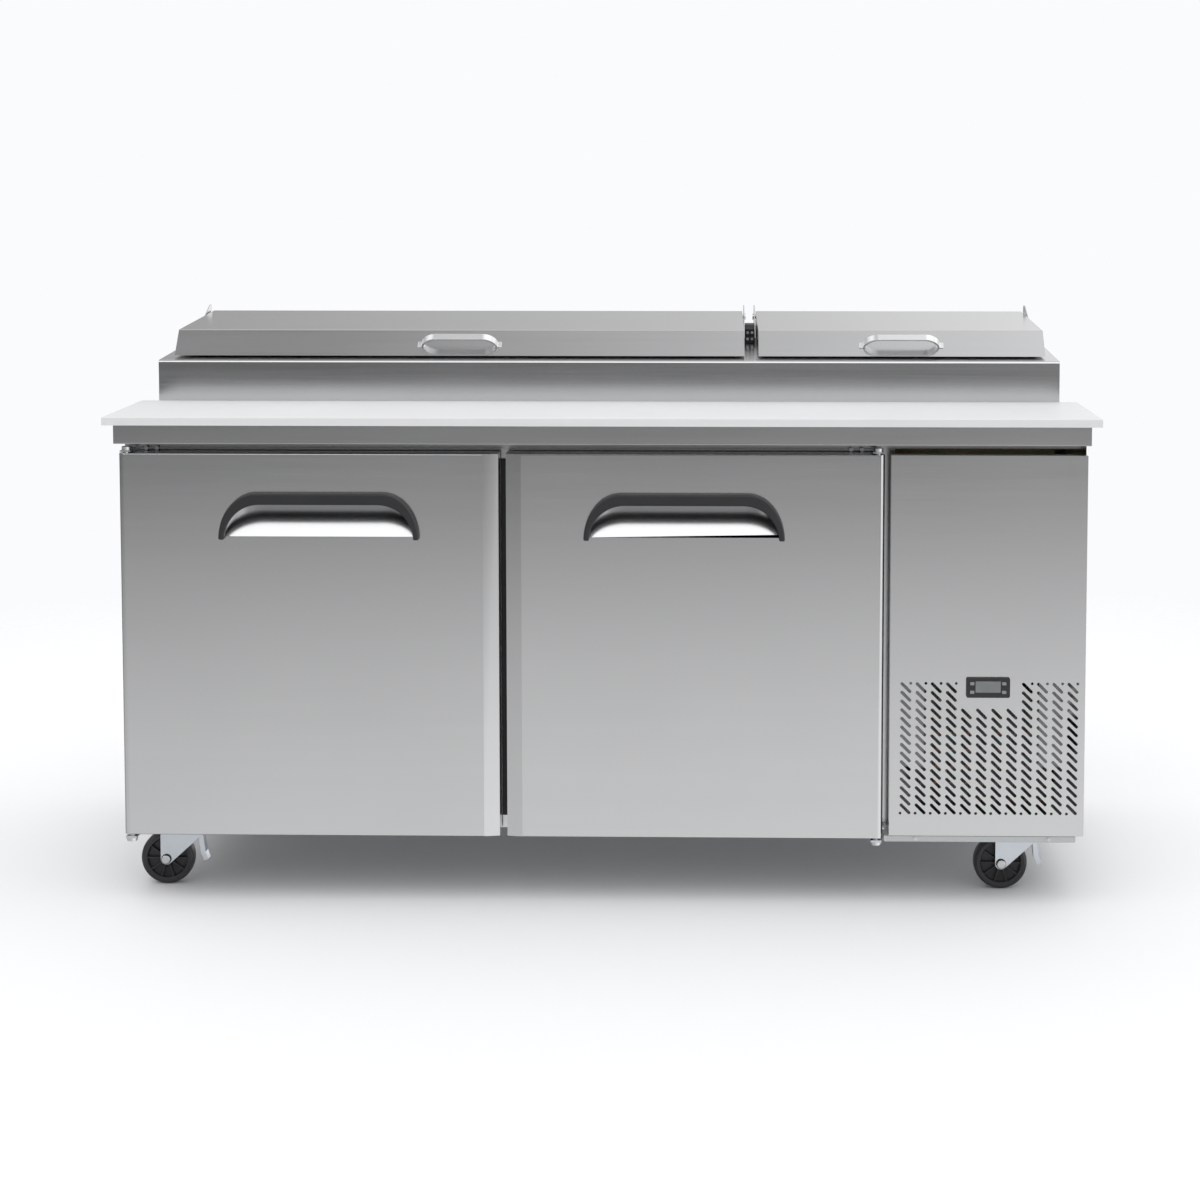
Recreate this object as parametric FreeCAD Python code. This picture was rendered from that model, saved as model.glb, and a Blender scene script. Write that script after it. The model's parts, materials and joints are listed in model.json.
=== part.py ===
"""Two-door refrigerated prep table on casters: insulated cabinet, raised pan rail with two hinged lids,
white cutting board, and a side-mounted condensing unit behind a slotted grille.

Frame: origin on the floor at the centre of the footprint, +X to the user's right, +Y to the back, +Z up.
The user stands at -Y. All sizes are in millimetres.
"""

import FreeCAD
import Part
import math
import os

V = FreeCAD.Vector

# ---- driving dimensions -------------------------------------------------------------------------
DECK_W = 1800.0            # worktop, side to side
BODY_W = 1790.0            # cabinet below the worktop
APRON_Y = -380.0           # front face of the worktop apron
BACK_Y = 400.0             # rear face of the cabinet
DOOR_Y = -372.0            # front face of the doors and of the grille panel
FRAME_Y = -310.0           # face that the door gaskets close on
FRAME_T = 20.0
BASE_Z = 125.0             # underside of the cabinet, where the casters bolt on
DECK_Z = 896.0             # top of the worktop sheet
APRON_H = 36.5
SHEET = 1.0                # stainless sheet
WALL = 50.0                # insulated wall
BODY_X = BODY_W / 2
PARTITION_X = 530.0        # machine side of the cold cabinet's right wall
STILE_REACH = 15.5         # the right stile closes the channel beside the machine panel

BOARD_W, BOARD_T, BOARD_OVER = 1834.0, 15.0, 20.0

DOOR_Z = (124.0, 841.0)
DOOR_T = 50.0
DOOR_LEFT_X = (-893.0, -190.0)
DOOR_RIGHT_X = (-176.0, 523.0)
DOOR_EDGE_R = 10.0         # rounded hinge-side edge
BEVEL_W, BEVEL_D = 29.0, 7.0   # bevelled free edge
PIN_INSET = 12.0           # hinge pin axis, in from the door's edge and face
GASKET_INSET, GASKET_W = 14.0, 16.0
PIN_R, PIN_CLEAR = 5.0, 0.05
OPENING_Z = (177.0, 806.0)
MULLION_X = (-226.0, -140.0)

RISER_W, RISER_Y, RIM_Z = 1764.0, -71.0, 990.5   # raised pan rail, its front face and front top edge
RIM_SLOPE = 2.7            # the rail's top rises to the back, degrees
REAR_RAIL = (384.0, 18.0)  # upstand behind the lids: its front face and its height
WELL_Y = (23.0, 334.0)     # pan opening, front to back
WELL_BOTTOM_Z = 830.0
CEILING_Z = 846.0
BAY_LEFT_X = (-806.0, 268.0)
BAY_RIGHT_X = (296.0, 833.0)
BAY_LEDGE = 8.0            # rim of the opening that carries a pan's flange
PAN_PITCH, PAN_W, PAN_L, PAN_DEPTH = 179.0, 176.0, 325.0, 150.0
PAN_COUNTS = (6, 3)

LID_LEFT_X = (-859.0, 268.0)
LID_RIGHT_X = (296.0, 859.0)
LID_FRONT, LID_FOLD, LID_BACK = 42.0, 88.0, 447.0   # from the rail's front face, along the rim
LID_SEAL, LID_TOP, LID_REAR = 4.0, 50.0, 22.0       # heights above the rim
LID_CORE = 12.0
LID_PIVOT = (430.0, 40.0)
LID_PIN_R = 4.0
EAR_T = 2.0
EARS_X = (-865.0, 270.0, 292.0, 863.0)
LID_HANDLE_W, LID_HANDLE_RISE, LID_HANDLE_BAND = 152.0, 27.0, 14.0
LID_HANDLE_T, LID_HANDLE_RUN = 4.0, 30.0            # strap thickness, and length of each shoulder
LID_HANDLE_UP = 0.42                                # place of the handle up the sloping front

HANDLE_OFFSET = 20.0       # door handle, from the door's middle towards its free edge
HANDLE_Z = 682.5
HANDLE_OUT = 14.0          # how far the black bow stands out of the door
CUP_Z = HANDLE_Z + 4.8     # bottom edge of the finger cup behind the bow
CUP_HALF, CUP_HEIGHT, CUP_CORNER = 178.0, 72.0, 64.0
CUP_DEPTH, CUP_WALL = 36.0, 1.2
BRACKET_TOP_Z = (DOOR_Z[1] + 3.0, DOOR_Z[1] + 5.0)
BRACKET_LOW_Z = (BASE_Z - 9.0, BASE_Z - 5.0)
BRACKET_REACH = 62.0       # from the pin, along the frame

PANEL_X = (534.5, 895.0)
PANEL_Z = (130.0, 841.0)
SLOT_COLUMNS, SLOT_ROWS = 12, 15
SLOT_PITCH_X, SLOT_PITCH_Z = 28.0, 16.3
SLOT_RUN, SLOT_R, DOT_R = 20.5, 2.9, 2.6
SLOT_FIRST = (554.0, 419.0)    # upper end of the first slot
CONTROL_X, CONTROL_Z = 715.5, 410.0
CONTROL_W, CONTROL_H, CONTROL_DEPTH = 81.0, 38.0, 60.0
BEZEL_T = 4.0
BUTTON_OFFSETS = {"up": (-29.5, 7.5), "down": (-29.5, -8.5), "set": (29.5, 7.5), "power": (29.5, -8.5)}
BUTTON_SIZE = (8.0, 6.0)
BLANK_COLUMNS, BLANK_ROWS = (4, 5, 6, 7), 3   # slots that the controller takes the place of

WHEEL_R, WHEEL_W = 50.8, 32.0
TRAIL = 30.0
AXLE_R = 5.0
KINGPIN_R = 6.0
CASTERS = {"fl": (-806.0, -255.0), "fr": (784.0, -255.0), "rl": (-806.0, 320.0), "rr": (784.0, 320.0)}

SHELF_Z = 470.0
SHELF_LEFT_X = (-838.0, -196.0)
SHELF_RIGHT_X = (-170.0, 360.0)
SHELF_Y = (-270.0, 335.0)
WIRE_R = 2.0
FRAME_WIRE_R = 3.5

COMPRESSOR, COMPRESSOR_R = (700.0, 160.0), 72.0
TRAY_SCREWS_X = (584.0, 831.0)
GLAND = (860.0, 155.0)     # supply cord gland in the back cover: x and z
FAN_CONDENSER = (712.0, -205.0, 262.0)
FAN_CONDENSER_R = 100.0
BAFFLE_Z, BAFFLE_T = (250.0, 440.0), 1.5
FAN_EVAPORATOR = (424.0, 60.0, 620.0)
FAN_EVAPORATOR_R = 75.0


# ---- helpers ------------------------------------------------------------------------------------
def box(x, y, z):
    """A box from three (low, high) pairs."""
    return Part.makeBox(x[1] - x[0], y[1] - y[0], z[1] - z[0], V(x[0], y[0], z[0]))


def rod(radius, start, end):
    """A round bar between two points."""
    a, b = V(*start), V(*end)
    return Part.makeCylinder(radius, (b - a).Length, a, b - a)


def prism_x(points, x):
    """An outline of (y, z) points, extruded along X."""
    face = Part.Face(Part.makePolygon([V(x[0], y, z) for y, z in points + points[:1]]))
    return face.extrude(V(x[1] - x[0], 0, 0))


def prism_z(points, z):
    """An outline of (x, y) points, extruded along Z."""
    face = Part.Face(Part.makePolygon([V(x, y, z[0]) for x, y in points + points[:1]]))
    return face.extrude(V(0, 0, z[1] - z[0]))


def fuse(first, *others):
    return first.fuse(list(others)).removeSplitter()


def inset(points, distance):
    """A convex outline with every side moved inwards by distance."""
    area = sum(a[0] * b[1] - b[0] * a[1] for a, b in zip(points, points[1:] + points[:1]))
    turn = 1.0 if area > 0 else -1.0
    sides = []
    for a, b in zip(points, points[1:] + points[:1]):
        length = math.hypot(b[0] - a[0], b[1] - a[1])
        normal = (-turn * (b[1] - a[1]) / length, turn * (b[0] - a[0]) / length)
        sides.append((normal, normal[0] * a[0] + normal[1] * a[1] + distance))
    corners = []
    for (n, c), (m, d) in zip(sides[-1:] + sides[:-1], sides):
        det = n[0] * m[1] - n[1] * m[0]
        corners.append(((c * m[1] - d * n[1]) / det, (n[0] * d - m[0] * c) / det))
    return corners


def rim_z(y):
    """Height of the rail's sloping top at a depth y."""
    return RIM_Z + (y - RISER_Y) * math.tan(math.radians(RIM_SLOPE))


def on_rim(shape):
    """Moves a shape drawn over a flat rim (y from the rail's front, z above the rim) to the sloping rim."""
    placed = shape.copy()
    placed.rotate(V(0, 0, 0), V(1, 0, 0), RIM_SLOPE)
    placed.translate(V(0, RISER_Y, RIM_Z))
    return placed


def compound(shapes):
    """Several separate solids of one node."""
    solids = []
    for shape in shapes:
        solids.extend(shape.Solids)
    return Part.makeCompound(solids)


# ---- cabinet ------------------------------------------------------------------------------------
def cabinet_shell():
    """Outer skin of the cold cabinet: both sides, back and underside."""
    y = (FRAME_Y + FRAME_T, BACK_Y)
    outer = box((-BODY_X, PARTITION_X), y, (BASE_Z, CEILING_Z))
    inner = box((-BODY_X + SHEET, PARTITION_X - SHEET), (y[0], BACK_Y - SHEET), (BASE_Z + SHEET, CEILING_Z))
    bay = box((BAY_RIGHT_X[0], BAY_RIGHT_X[1]), (WELL_Y[0] - SHEET, WELL_Y[1] + SHEET),
              (WELL_BOTTOM_Z - SHEET, CEILING_Z))
    under_deck = (CEILING_Z, DECK_Z - SHEET)
    left = box((-BODY_X, -BODY_X + SHEET), (FRAME_Y, BACK_Y), under_deck)
    back = box((-BODY_X, PARTITION_X), (BACK_Y - SHEET, BACK_Y), under_deck)
    under_rail = box((-RISER_W / 2, PARTITION_X), (BACK_Y - SHEET, BACK_Y), (DECK_Z - SHEET, DECK_Z))
    return fuse(outer.cut(inner).cut(bay), left, back, under_rail)


def insulation():
    """Foam slabs of the cabinet walls, the worktop and the pan rail."""
    left, right = -BODY_X + SHEET, PARTITION_X - SHEET
    inner_left, inner_right = -BODY_X + WALL + SHEET, PARTITION_X - WALL
    front, back = FRAME_Y + FRAME_T, BACK_Y - SHEET
    inner_back = BACK_Y - WALL - SHEET
    floor, inner_floor = BASE_Z + SHEET, BASE_Z + WALL + SHEET
    well_front, well_back = WELL_Y[0] - SHEET, WELL_Y[1] + SHEET
    well_floor = WELL_BOTTOM_Z - SHEET
    riser = (-RISER_W / 2 + SHEET, RISER_W / 2 - SHEET)
    under = RISER_Y + SHEET

    def rail_wall(x, y):
        top = [(y[0], rim_z(y[0]) - 1.5 * SHEET), (y[1], rim_z(y[1]) - 1.5 * SHEET)]
        return prism_x([(y[0], CEILING_Z)] + top + [(y[1], CEILING_Z)], x)

    walls = [
        box((left, inner_left), (front, back), (floor, CEILING_Z)),
        box((inner_right, right), (front, back), (floor, well_floor)),
        box((inner_right, right), (front, well_front), (well_floor, CEILING_Z)),
        box((inner_right, right), (well_back, back), (well_floor, CEILING_Z)),
        box((inner_left, inner_right), (inner_back, back), (inner_floor, CEILING_Z)),
        box((inner_left, inner_right), (front, back), (floor, inner_floor)),
        box((-BODY_X + SHEET, BODY_X - SHEET), (FRAME_Y + SHEET, under), (CEILING_Z, DECK_Z - SHEET)),
    ]
    end_left, end_right = BAY_LEFT_X[0] + BAY_LEDGE - SHEET, BAY_RIGHT_X[1] - BAY_LEDGE + SHEET
    bridge = (BAY_LEFT_X[1] - BAY_LEDGE + SHEET, BAY_RIGHT_X[0] + BAY_LEDGE - SHEET)
    rail = [
        rail_wall(riser, (under, well_front)),
        rail_wall(riser, (well_back, back)),
        rail_wall((riser[0], end_left), (well_front, well_back)),
        rail_wall((end_right, riser[1]), (well_front, well_back)),
        rail_wall(bridge, (well_front, well_back)),
    ]
    slab = well_floor - 44.0
    outer_front = well_front - 45.0
    over_machine = [
        box((PARTITION_X, riser[1]), (outer_front, back), (slab, well_floor)),
        box((PARTITION_X, riser[1]), (outer_front, well_front), (well_floor, CEILING_Z)),
        box((PARTITION_X, riser[1]), (well_back, back), (well_floor, CEILING_Z)),
        box((end_right, riser[1]), (well_front, well_back), (well_floor, CEILING_Z)),
    ]
    return compound(walls + rail + over_machine)


def cabinet_liner():
    """Inner skin of the cold cabinet, open at the front and under the pan wells."""
    inner_left, inner_right = -BODY_X + WALL + SHEET, PARTITION_X - WALL
    floor = BASE_Z + WALL + SHEET
    back = BACK_Y - WALL - SHEET
    y = (FRAME_Y + FRAME_T, back)
    outer = box((inner_left, inner_right), y, (floor, CEILING_Z))
    hollow = box((inner_left + SHEET, inner_right - SHEET), (y[0], back - SHEET),
                 (floor + SHEET, CEILING_Z - SHEET))
    holes = [
        box((BAY_LEFT_X[0] + BAY_LEDGE - SHEET, BAY_LEFT_X[1] - BAY_LEDGE + SHEET),
            (WELL_Y[0] - SHEET, WELL_Y[1] + SHEET), (CEILING_Z - 2 * SHEET, CEILING_Z)),
        box((BAY_RIGHT_X[0] + BAY_LEDGE - SHEET, inner_right),
            (WELL_Y[0] - SHEET, WELL_Y[1] + SHEET), (WELL_BOTTOM_Z - SHEET, CEILING_Z)),
    ]
    return outer.cut(hollow).cut(holes)


def door_frame():
    """Stiles, mullion and rails that the doors close against, and the header sheet under the worktop."""
    y = (FRAME_Y, FRAME_Y + FRAME_T)
    top = CEILING_Z
    left = (-BODY_X, -BODY_X + WALL + 2 * SHEET)
    right = (PARTITION_X - WALL - SHEET, PARTITION_X + STILE_REACH)
    bars = [box(x, y, (BASE_Z, top)) for x in (left, MULLION_X, right)]
    for x in ((left[1], MULLION_X[0]), (MULLION_X[1], right[0])):
        bars.append(box(x, y, (BASE_Z, OPENING_Z[0])))
        bars.append(box(x, y, (OPENING_Z[1], top)))
    header = box((-BODY_X + SHEET, BODY_X - SHEET), (FRAME_Y, FRAME_Y + SHEET), (top, DECK_Z - SHEET))
    return compound(bars + [header])


def mullion_strip():
    """Dark breaker strip on the mullion, seen between the doors."""
    x = (DOOR_LEFT_X[1] + 1.0, DOOR_RIGHT_X[0] - 1.0)
    return box(x, (FRAME_Y - 6.0, FRAME_Y), (DOOR_Z[0] + 26.0, DOOR_Z[1] - 15.0))


def worktop_deck():
    """Worktop sheet with its folded apron, and the end sheets beside the rail."""
    half = DECK_W / 2
    under = DECK_Z - APRON_H
    plate = box((-half, half), (APRON_Y, RISER_Y), (DECK_Z - SHEET, DECK_Z))
    apron = box((-half, half), (APRON_Y, APRON_Y + SHEET), (under, DECK_Z))
    lip = box((-half, half), (APRON_Y, APRON_Y + 20.0), (under, under + SHEET))
    ends = [box(x, (APRON_Y, RISER_Y), (under, DECK_Z))
            for x in ((-half, -half + SHEET), (half - SHEET, half))]
    front = fuse(plate, apron, lip, *ends)
    strips = []
    for side in (-1, 1):
        edge, inner = side * half, side * RISER_W / 2
        top = box(sorted((edge, inner)), (RISER_Y, BACK_Y), (DECK_Z - SHEET, DECK_Z))
        skirt = box(sorted((edge, edge - side * SHEET)), (RISER_Y, BACK_Y), (under, DECK_Z))
        strips.append(fuse(top, skirt))
    return compound([front] + strips)


def cutting_board():
    """White board over the worktop, its upper edges and corners eased."""
    top = DECK_Z + BOARD_T
    board = box((-BOARD_W / 2, BOARD_W / 2), (APRON_Y - BOARD_OVER, RISER_Y - 0.5), (DECK_Z, top))
    eased = [edge for edge in board.Edges
             if edge.BoundBox.ZMin > top - 0.1 or edge.BoundBox.ZLength > BOARD_T - 0.1]
    return board.makeFillet(2.0, eased)


# ---- pan rail -----------------------------------------------------------------------------------
def riser_shell():
    """Skin of the raised rail: front, ends, back, sloping rim with two pan openings, and rear upstand."""
    half = RISER_W / 2
    outline = [(RISER_Y, DECK_Z), (RISER_Y, rim_z(RISER_Y)), (BACK_Y, rim_z(BACK_Y)), (BACK_Y, DECK_Z)]
    hollow = [(RISER_Y + SHEET, DECK_Z - 5.0), (RISER_Y + SHEET, rim_z(RISER_Y + SHEET) - SHEET),
              (BACK_Y - SHEET, rim_z(BACK_Y - SHEET) - SHEET), (BACK_Y - SHEET, DECK_Z - 5.0)]
    shell = prism_x(outline, (-half, half)).cut(prism_x(hollow, (-half + SHEET, half - SHEET)))
    for bay in (BAY_LEFT_X, BAY_RIGHT_X):
        opening = (bay[0] + BAY_LEDGE, bay[1] - BAY_LEDGE)
        shell = shell.cut(box(opening, WELL_Y, (DECK_Z, rim_z(BACK_Y) + 50.0)))
    rail_y, rail_h = REAR_RAIL
    upstand = [(rail_y, rim_z(rail_y) - 0.5), (rail_y, rim_z(rail_y) + rail_h),
               (BACK_Y, rim_z(BACK_Y) + rail_h), (BACK_Y, rim_z(BACK_Y) - 0.5)]
    return fuse(shell, prism_x(upstand, (-half, half)))


def pan_wells():
    """Troughs under the rail's openings, one for each lid, with a bar between each two pans."""
    low = WELL_BOTTOM_Z

    def wall(y, x):
        """An upright sheet between two depths, up to just under the rim."""
        front_top, back_top = rim_z(y[0]) - 1.5 * SHEET, rim_z(y[1]) - 1.5 * SHEET
        return prism_x([(y[0], low), (y[0], front_top), (y[1], back_top), (y[1], low)], x)

    sheets = []
    for bay in (BAY_LEFT_X, BAY_RIGHT_X):
        left, right = bay[0] + BAY_LEDGE, bay[1] - BAY_LEDGE
        outside = (left - SHEET, right + SHEET)
        sheets.append(box(outside, (WELL_Y[0] - SHEET, WELL_Y[1] + SHEET), (low - SHEET, low)))
        sheets.append(wall((WELL_Y[0] - SHEET, WELL_Y[0]), outside))
        sheets.append(wall((WELL_Y[1], WELL_Y[1] + SHEET), outside))
        sheets.append(wall(WELL_Y, (left - SHEET, left)))
        sheets.append(wall(WELL_Y, (right, right + SHEET)))
    return compound(sheets + divider_bars())


def pan_centres():
    """Middle of every pan, along X."""
    for bay, count in zip((BAY_LEFT_X, BAY_RIGHT_X), PAN_COUNTS):
        for i in range(count):
            yield bay[0] + PAN_PITCH * (i + 0.5)


def divider_bars():
    """T-section bars across the wells."""
    y = (WELL_Y[0] - RISER_Y + 1.0, WELL_Y[1] - RISER_Y - 1.0)
    bars = []
    for bay, count in zip((BAY_LEFT_X, BAY_RIGHT_X), PAN_COUNTS):
        for i in range(1, count):
            x = bay[0] + PAN_PITCH * i
            flange = box((x - 7.0, x + 7.0), y, (-1.5, 0.0))
            web = box((x - 1.5, x + 1.5), y, (-12.0, -1.5))
            bars.append(on_rim(fuse(flange, web)))
    return bars


def pan(x):
    """One third-size food pan hanging by its flange, its middle at x."""
    middle = (WELL_Y[0] + WELL_Y[1]) / 2 - RISER_Y
    wall, taper, corner, lip = 1.0, 5.0, 18.0, 0.8
    body = (PAN_W - 14.0, PAN_L - 20.0)
    diagonal = corner * (1 - math.sqrt(0.5))

    def section(width, length, z):
        """A closed outline with rounded corners at height z."""
        w, h = width / 2, length / 2
        loop = []
        for sx, sy in ((1, 1), (-1, 1), (-1, -1), (1, -1)):
            ends = [(sx * w, sy * (h - corner)), (sx * (w - corner), sy * h)]
            if sx != sy:
                ends.reverse()
            loop.append((ends[0], (sx * (w - diagonal), sy * (h - diagonal)), ends[1]))
        edges = []
        for arc, following in zip(loop, loop[1:] + loop[:1]):
            first, mid, last, after = [V(x + p[0], middle + p[1], z) for p in (*arc, following[0])]
            edges.append(Part.Arc(first, mid, last).toShape())
            edges.append(Part.makeLine(last, after))
        return Part.Wire(edges)

    def tub(shrink, bottom):
        """The tapered block of the pan, smaller all round by shrink, down to the height bottom."""
        low = section(body[0] - 2 * (taper + shrink), body[1] - 2 * (taper + shrink), bottom)
        high = section(body[0] - 2 * shrink, body[1] - 2 * shrink, lip)
        return Part.makeLoft([low, high], True)

    flange = Part.Face(section(PAN_W - 1.0, PAN_L, 0.0)).extrude(V(0, 0, lip))
    return on_rim(fuse(tub(0.0, -PAN_DEPTH), flange).cut(tub(wall, wall - PAN_DEPTH)))


def lid_outline():
    """A lid's side view over the rim: 45-degree front, level top, cut-away lower rear."""
    return [(LID_FRONT, LID_SEAL), (LID_BACK - 47.0, LID_SEAL), (LID_BACK, LID_REAR), (LID_BACK, LID_TOP),
            (LID_FOLD, LID_TOP)]


def lid_shell(x):
    """Folded stainless cover of a lid, open underneath, with pin holes in its ends."""
    outline = lid_outline()
    inner = inset(outline, SHEET)
    opened = [(inner[0][0] - 3.0, inner[0][1] - 3.0), (inner[1][0], inner[1][1] - 3.0)] + inner[1:]
    cover = prism_x(outline, x).cut(prism_x(opened, (x[0] + SHEET, x[1] - SHEET)))
    hole = rod(LID_PIN_R + PIN_CLEAR, (x[0] - 5, *LID_PIVOT), (x[1] + 5, *LID_PIVOT))
    return on_rim(cover.cut(hole))


def lid_core(x):
    """Foamed slabs under the cover: top, sloping front, two ends and rear."""
    outer = inset(lid_outline(), SHEET)
    inner = inset(lid_outline(), SHEET + LID_CORE)
    span = (x[0] + SHEET, x[1] - SHEET)
    low = LID_SEAL
    front_low = outer[0][0] + (low - outer[0][1])
    front_in = front_low + LID_CORE * math.sqrt(2)
    fold_out, fold_in = outer[4], inner[4]
    rear_out, rear_in = (outer[3][0], fold_in[1]), (inner[3][0], fold_in[1])
    front = [(front_low, low), (front_in, low), fold_in, fold_out]
    top = [fold_out, fold_in, rear_in, rear_out, outer[3]]
    end = [(front_in, low), (LID_BACK - 50.0, low), inner[2], rear_in, fold_in]
    rear = [inner[2], outer[2], rear_out, rear_in]
    hole = rod(LID_PIN_R + PIN_CLEAR, (x[0], *LID_PIVOT), (x[1], *LID_PIVOT))
    slabs = [prism_x(front, span), prism_x(top, span), prism_x(rear, span),
             prism_x(end, (span[0], span[0] + LID_CORE)), prism_x(end, (span[1] - LID_CORE, span[1]))]
    return compound([on_rim(slab.cut(hole)) for slab in slabs])


def arch(half, top, band):
    """A flat-topped arch over the X axis, standing on z = 0."""
    run = LID_HANDLE_RUN
    left = Part.Arc(V(-half, 0, 0), V(-half + run * 0.35, 0, top * 0.72), V(-half + run, 0, top))
    right = Part.Arc(V(half - run, 0, top), V(half - run * 0.35, 0, top * 0.72), V(half, 0, 0))
    flat = Part.makeLine(V(-half + run, 0, top), V(half - run, 0, top))
    base = Part.makeLine(V(half, 0, 0), V(-half, 0, 0))
    return Part.Face(Part.Wire([left.toShape(), flat, right.toShape(), base])).extrude(V(0, band, 0))


def lid_handle(x):
    """Bow handle on the lid's sloping front: a flat strap bent into an arch, with two feet."""
    half, band = LID_HANDLE_W / 2, LID_HANDLE_BAND
    outside = arch(half, LID_HANDLE_RISE, band)
    inside = arch(half - LID_HANDLE_T, LID_HANDLE_RISE - LID_HANDLE_T, band)
    feet = [box((side * half - 7.0, side * half + 7.0), (0.0, band), (0.0, 2.0)) for side in (-1, 1)]
    handle = fuse(outside.cut(inside), *feet)
    handle.translate(V((x[0] + x[1]) / 2, -band / 2, 0))
    run, rise = LID_FOLD - LID_FRONT, LID_TOP - LID_SEAL
    handle.rotate(V(0, 0, 0), V(1, 0, 0), math.degrees(math.atan2(rise, run)))
    handle.translate(V(0, LID_FRONT + LID_HANDLE_UP * run, LID_SEAL + LID_HANDLE_UP * rise))
    return on_rim(handle)


def lid_hinge_ears():
    """Upright plates on the rim that carry the lids' pivot pins."""
    outline = [(285.0, 0.0), (444.0, 0.0), (444.0, 58.0), (438.0, 64.0), (422.0, 64.0), (300.0, 24.0),
               (285.0, 12.0)]
    ears = []
    for x in EARS_X:
        plate = prism_x(outline, (x, x + EAR_T))
        hole = rod(LID_PIN_R, (x - 1, *LID_PIVOT), (x + EAR_T + 1, *LID_PIVOT))
        ears.append(on_rim(plate.cut(hole)))
    return compound(ears)


def lid_centre_block():
    """Black moulded block between the inner ears."""
    x = (EARS_X[1] + EAR_T, EARS_X[2])
    outline = [(290.0, 0.0), (330.0, 0.0), (330.0, 38.0), (300.0, 38.0), (290.0, 30.0)]
    return on_rim(prism_x(outline, x))


# ---- doors --------------------------------------------------------------------------------------
def arch_face(middle, half, height, corner, low, y):
    """A face at depth y: flat top, elliptical shoulders, and a straight bottom edge at height low."""
    top = low + height
    edges = [Part.makeLine(V(middle - half + corner, y, top), V(middle + half - corner, y, top))]
    for side in (1, -1):
        centre = V(middle + side * (half - corner), y, low)
        quarter = []
        for k in range(3):
            angle = math.radians(90.0 - 45.0 * k)
            quarter.append(V(centre.x + side * corner * math.cos(angle), y, low + height * math.sin(angle)))
        if height >= corner:
            ellipse = Part.Ellipse(quarter[0], quarter[2], centre)
        else:
            ellipse = Part.Ellipse(quarter[2], quarter[0], centre)
        ends = sorted((ellipse.parameter(quarter[0]), ellipse.parameter(quarter[2])))
        if ends[1] - ends[0] > math.pi:
            ends = [ends[1], ends[0] + 2 * math.pi]
        edges.append(Part.ArcOfEllipse(ellipse, *ends).toShape())
    edges.append(Part.makeLine(V(middle - half, y, low), V(middle + half, y, low)))
    return Part.Face(Part.Wire(Part.__sortEdges__(edges)))


def door_profile(x, hinge):
    """Plan of a door: rounded hinge-side front corner, bevelled free edge. hinge is -1 left or 1 right."""
    pinned, free = (x[0], x[1]) if hinge < 0 else (x[1], x[0])
    inward = 1 if hinge < 0 else -1
    steps = 6
    points = [(pinned, DOOR_Y + DOOR_T)]
    for k in range(steps + 1):
        angle = math.radians(90.0 * k / steps)
        points.append((pinned + inward * DOOR_EDGE_R * (1 - math.cos(angle)),
                       DOOR_Y + DOOR_EDGE_R * (1 - math.sin(angle))))
    points.append((free - inward * BEVEL_W, DOOR_Y))
    points.append((free, DOOR_Y + BEVEL_D))
    points.append((free, DOOR_Y + DOOR_T))
    return points


def handle_middle(x, hinge):
    """Middle of the door handle along X."""
    return (x[0] + x[1]) / 2 - hinge * HANDLE_OFFSET


def pin_axis(x, hinge):
    """Where the door's hinge axis stands, in x and y."""
    return (x[0] if hinge < 0 else x[1]) - hinge * PIN_INSET, DOOR_Y + PIN_INSET


def pocket(x, hinge):
    """Space in the door that the finger cup fills."""
    face = arch_face(handle_middle(x, hinge), CUP_HALF, CUP_HEIGHT, CUP_CORNER, CUP_Z, DOOR_Y)
    return face.extrude(V(0, CUP_DEPTH, 0))


def pin_holes(x, hinge, radius):
    """Bores for the door's upper and lower hinge pins."""
    px, py = pin_axis(x, hinge)
    return [rod(radius, (px, py, DOOR_Z[0] - 1), (px, py, DOOR_Z[0] + 31)),
            rod(radius, (px, py, DOOR_Z[1] - 31), (px, py, DOOR_Z[1] + 1))]


def finger_cup(x, hinge):
    """Pressed cup behind the handle, its back sloping inwards towards the top."""
    middle, top = handle_middle(x, hinge), CUP_Z + CUP_HEIGHT
    face = arch_face(middle, CUP_HALF - CUP_WALL, CUP_HEIGHT - CUP_WALL, CUP_CORNER - CUP_WALL,
                     CUP_Z, DOOR_Y - 1.0)
    hollow = face.extrude(V(0, CUP_DEPTH + 1.0 - CUP_WALL, 0))
    wedge = [(DOOR_Y, CUP_Z), (DOOR_Y - 2.0, CUP_Z), (DOOR_Y - 2.0, top + 1), (DOOR_Y + CUP_DEPTH, top + 1),
             (DOOR_Y + CUP_DEPTH, top - 12.0)]
    ramp = prism_x(wedge, (middle - 200.0, middle + 200.0))
    return pocket(x, hinge).cut(hollow.common(ramp))


def door_skin(x, hinge):
    """Folded outer pan of the door, and its pressed finger cup."""
    profile = door_profile(x, hinge)
    back = DOOR_Y + DOOR_T
    opened = [(px, py if py < back - 2 * SHEET else back + 1.0) for px, py in inset(profile, SHEET)]
    skin = prism_z(profile, DOOR_Z).cut(prism_z(opened, (DOOR_Z[0] + SHEET, DOOR_Z[1] - SHEET)))
    skin = skin.cut([pocket(x, hinge)] + pin_holes(x, hinge, PIN_R + 1.0))
    return compound([skin, finger_cup(x, hinge)])


def door_inner_panel(x, hinge):
    """Foamed core and inner face of the door."""
    core = prism_z(inset(door_profile(x, hinge), SHEET), (DOOR_Z[0] + SHEET, DOOR_Z[1] - SHEET))
    core = core.cut(pocket(x, hinge))
    return core.cut(pin_holes(x, hinge, PIN_R + PIN_CLEAR))


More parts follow.
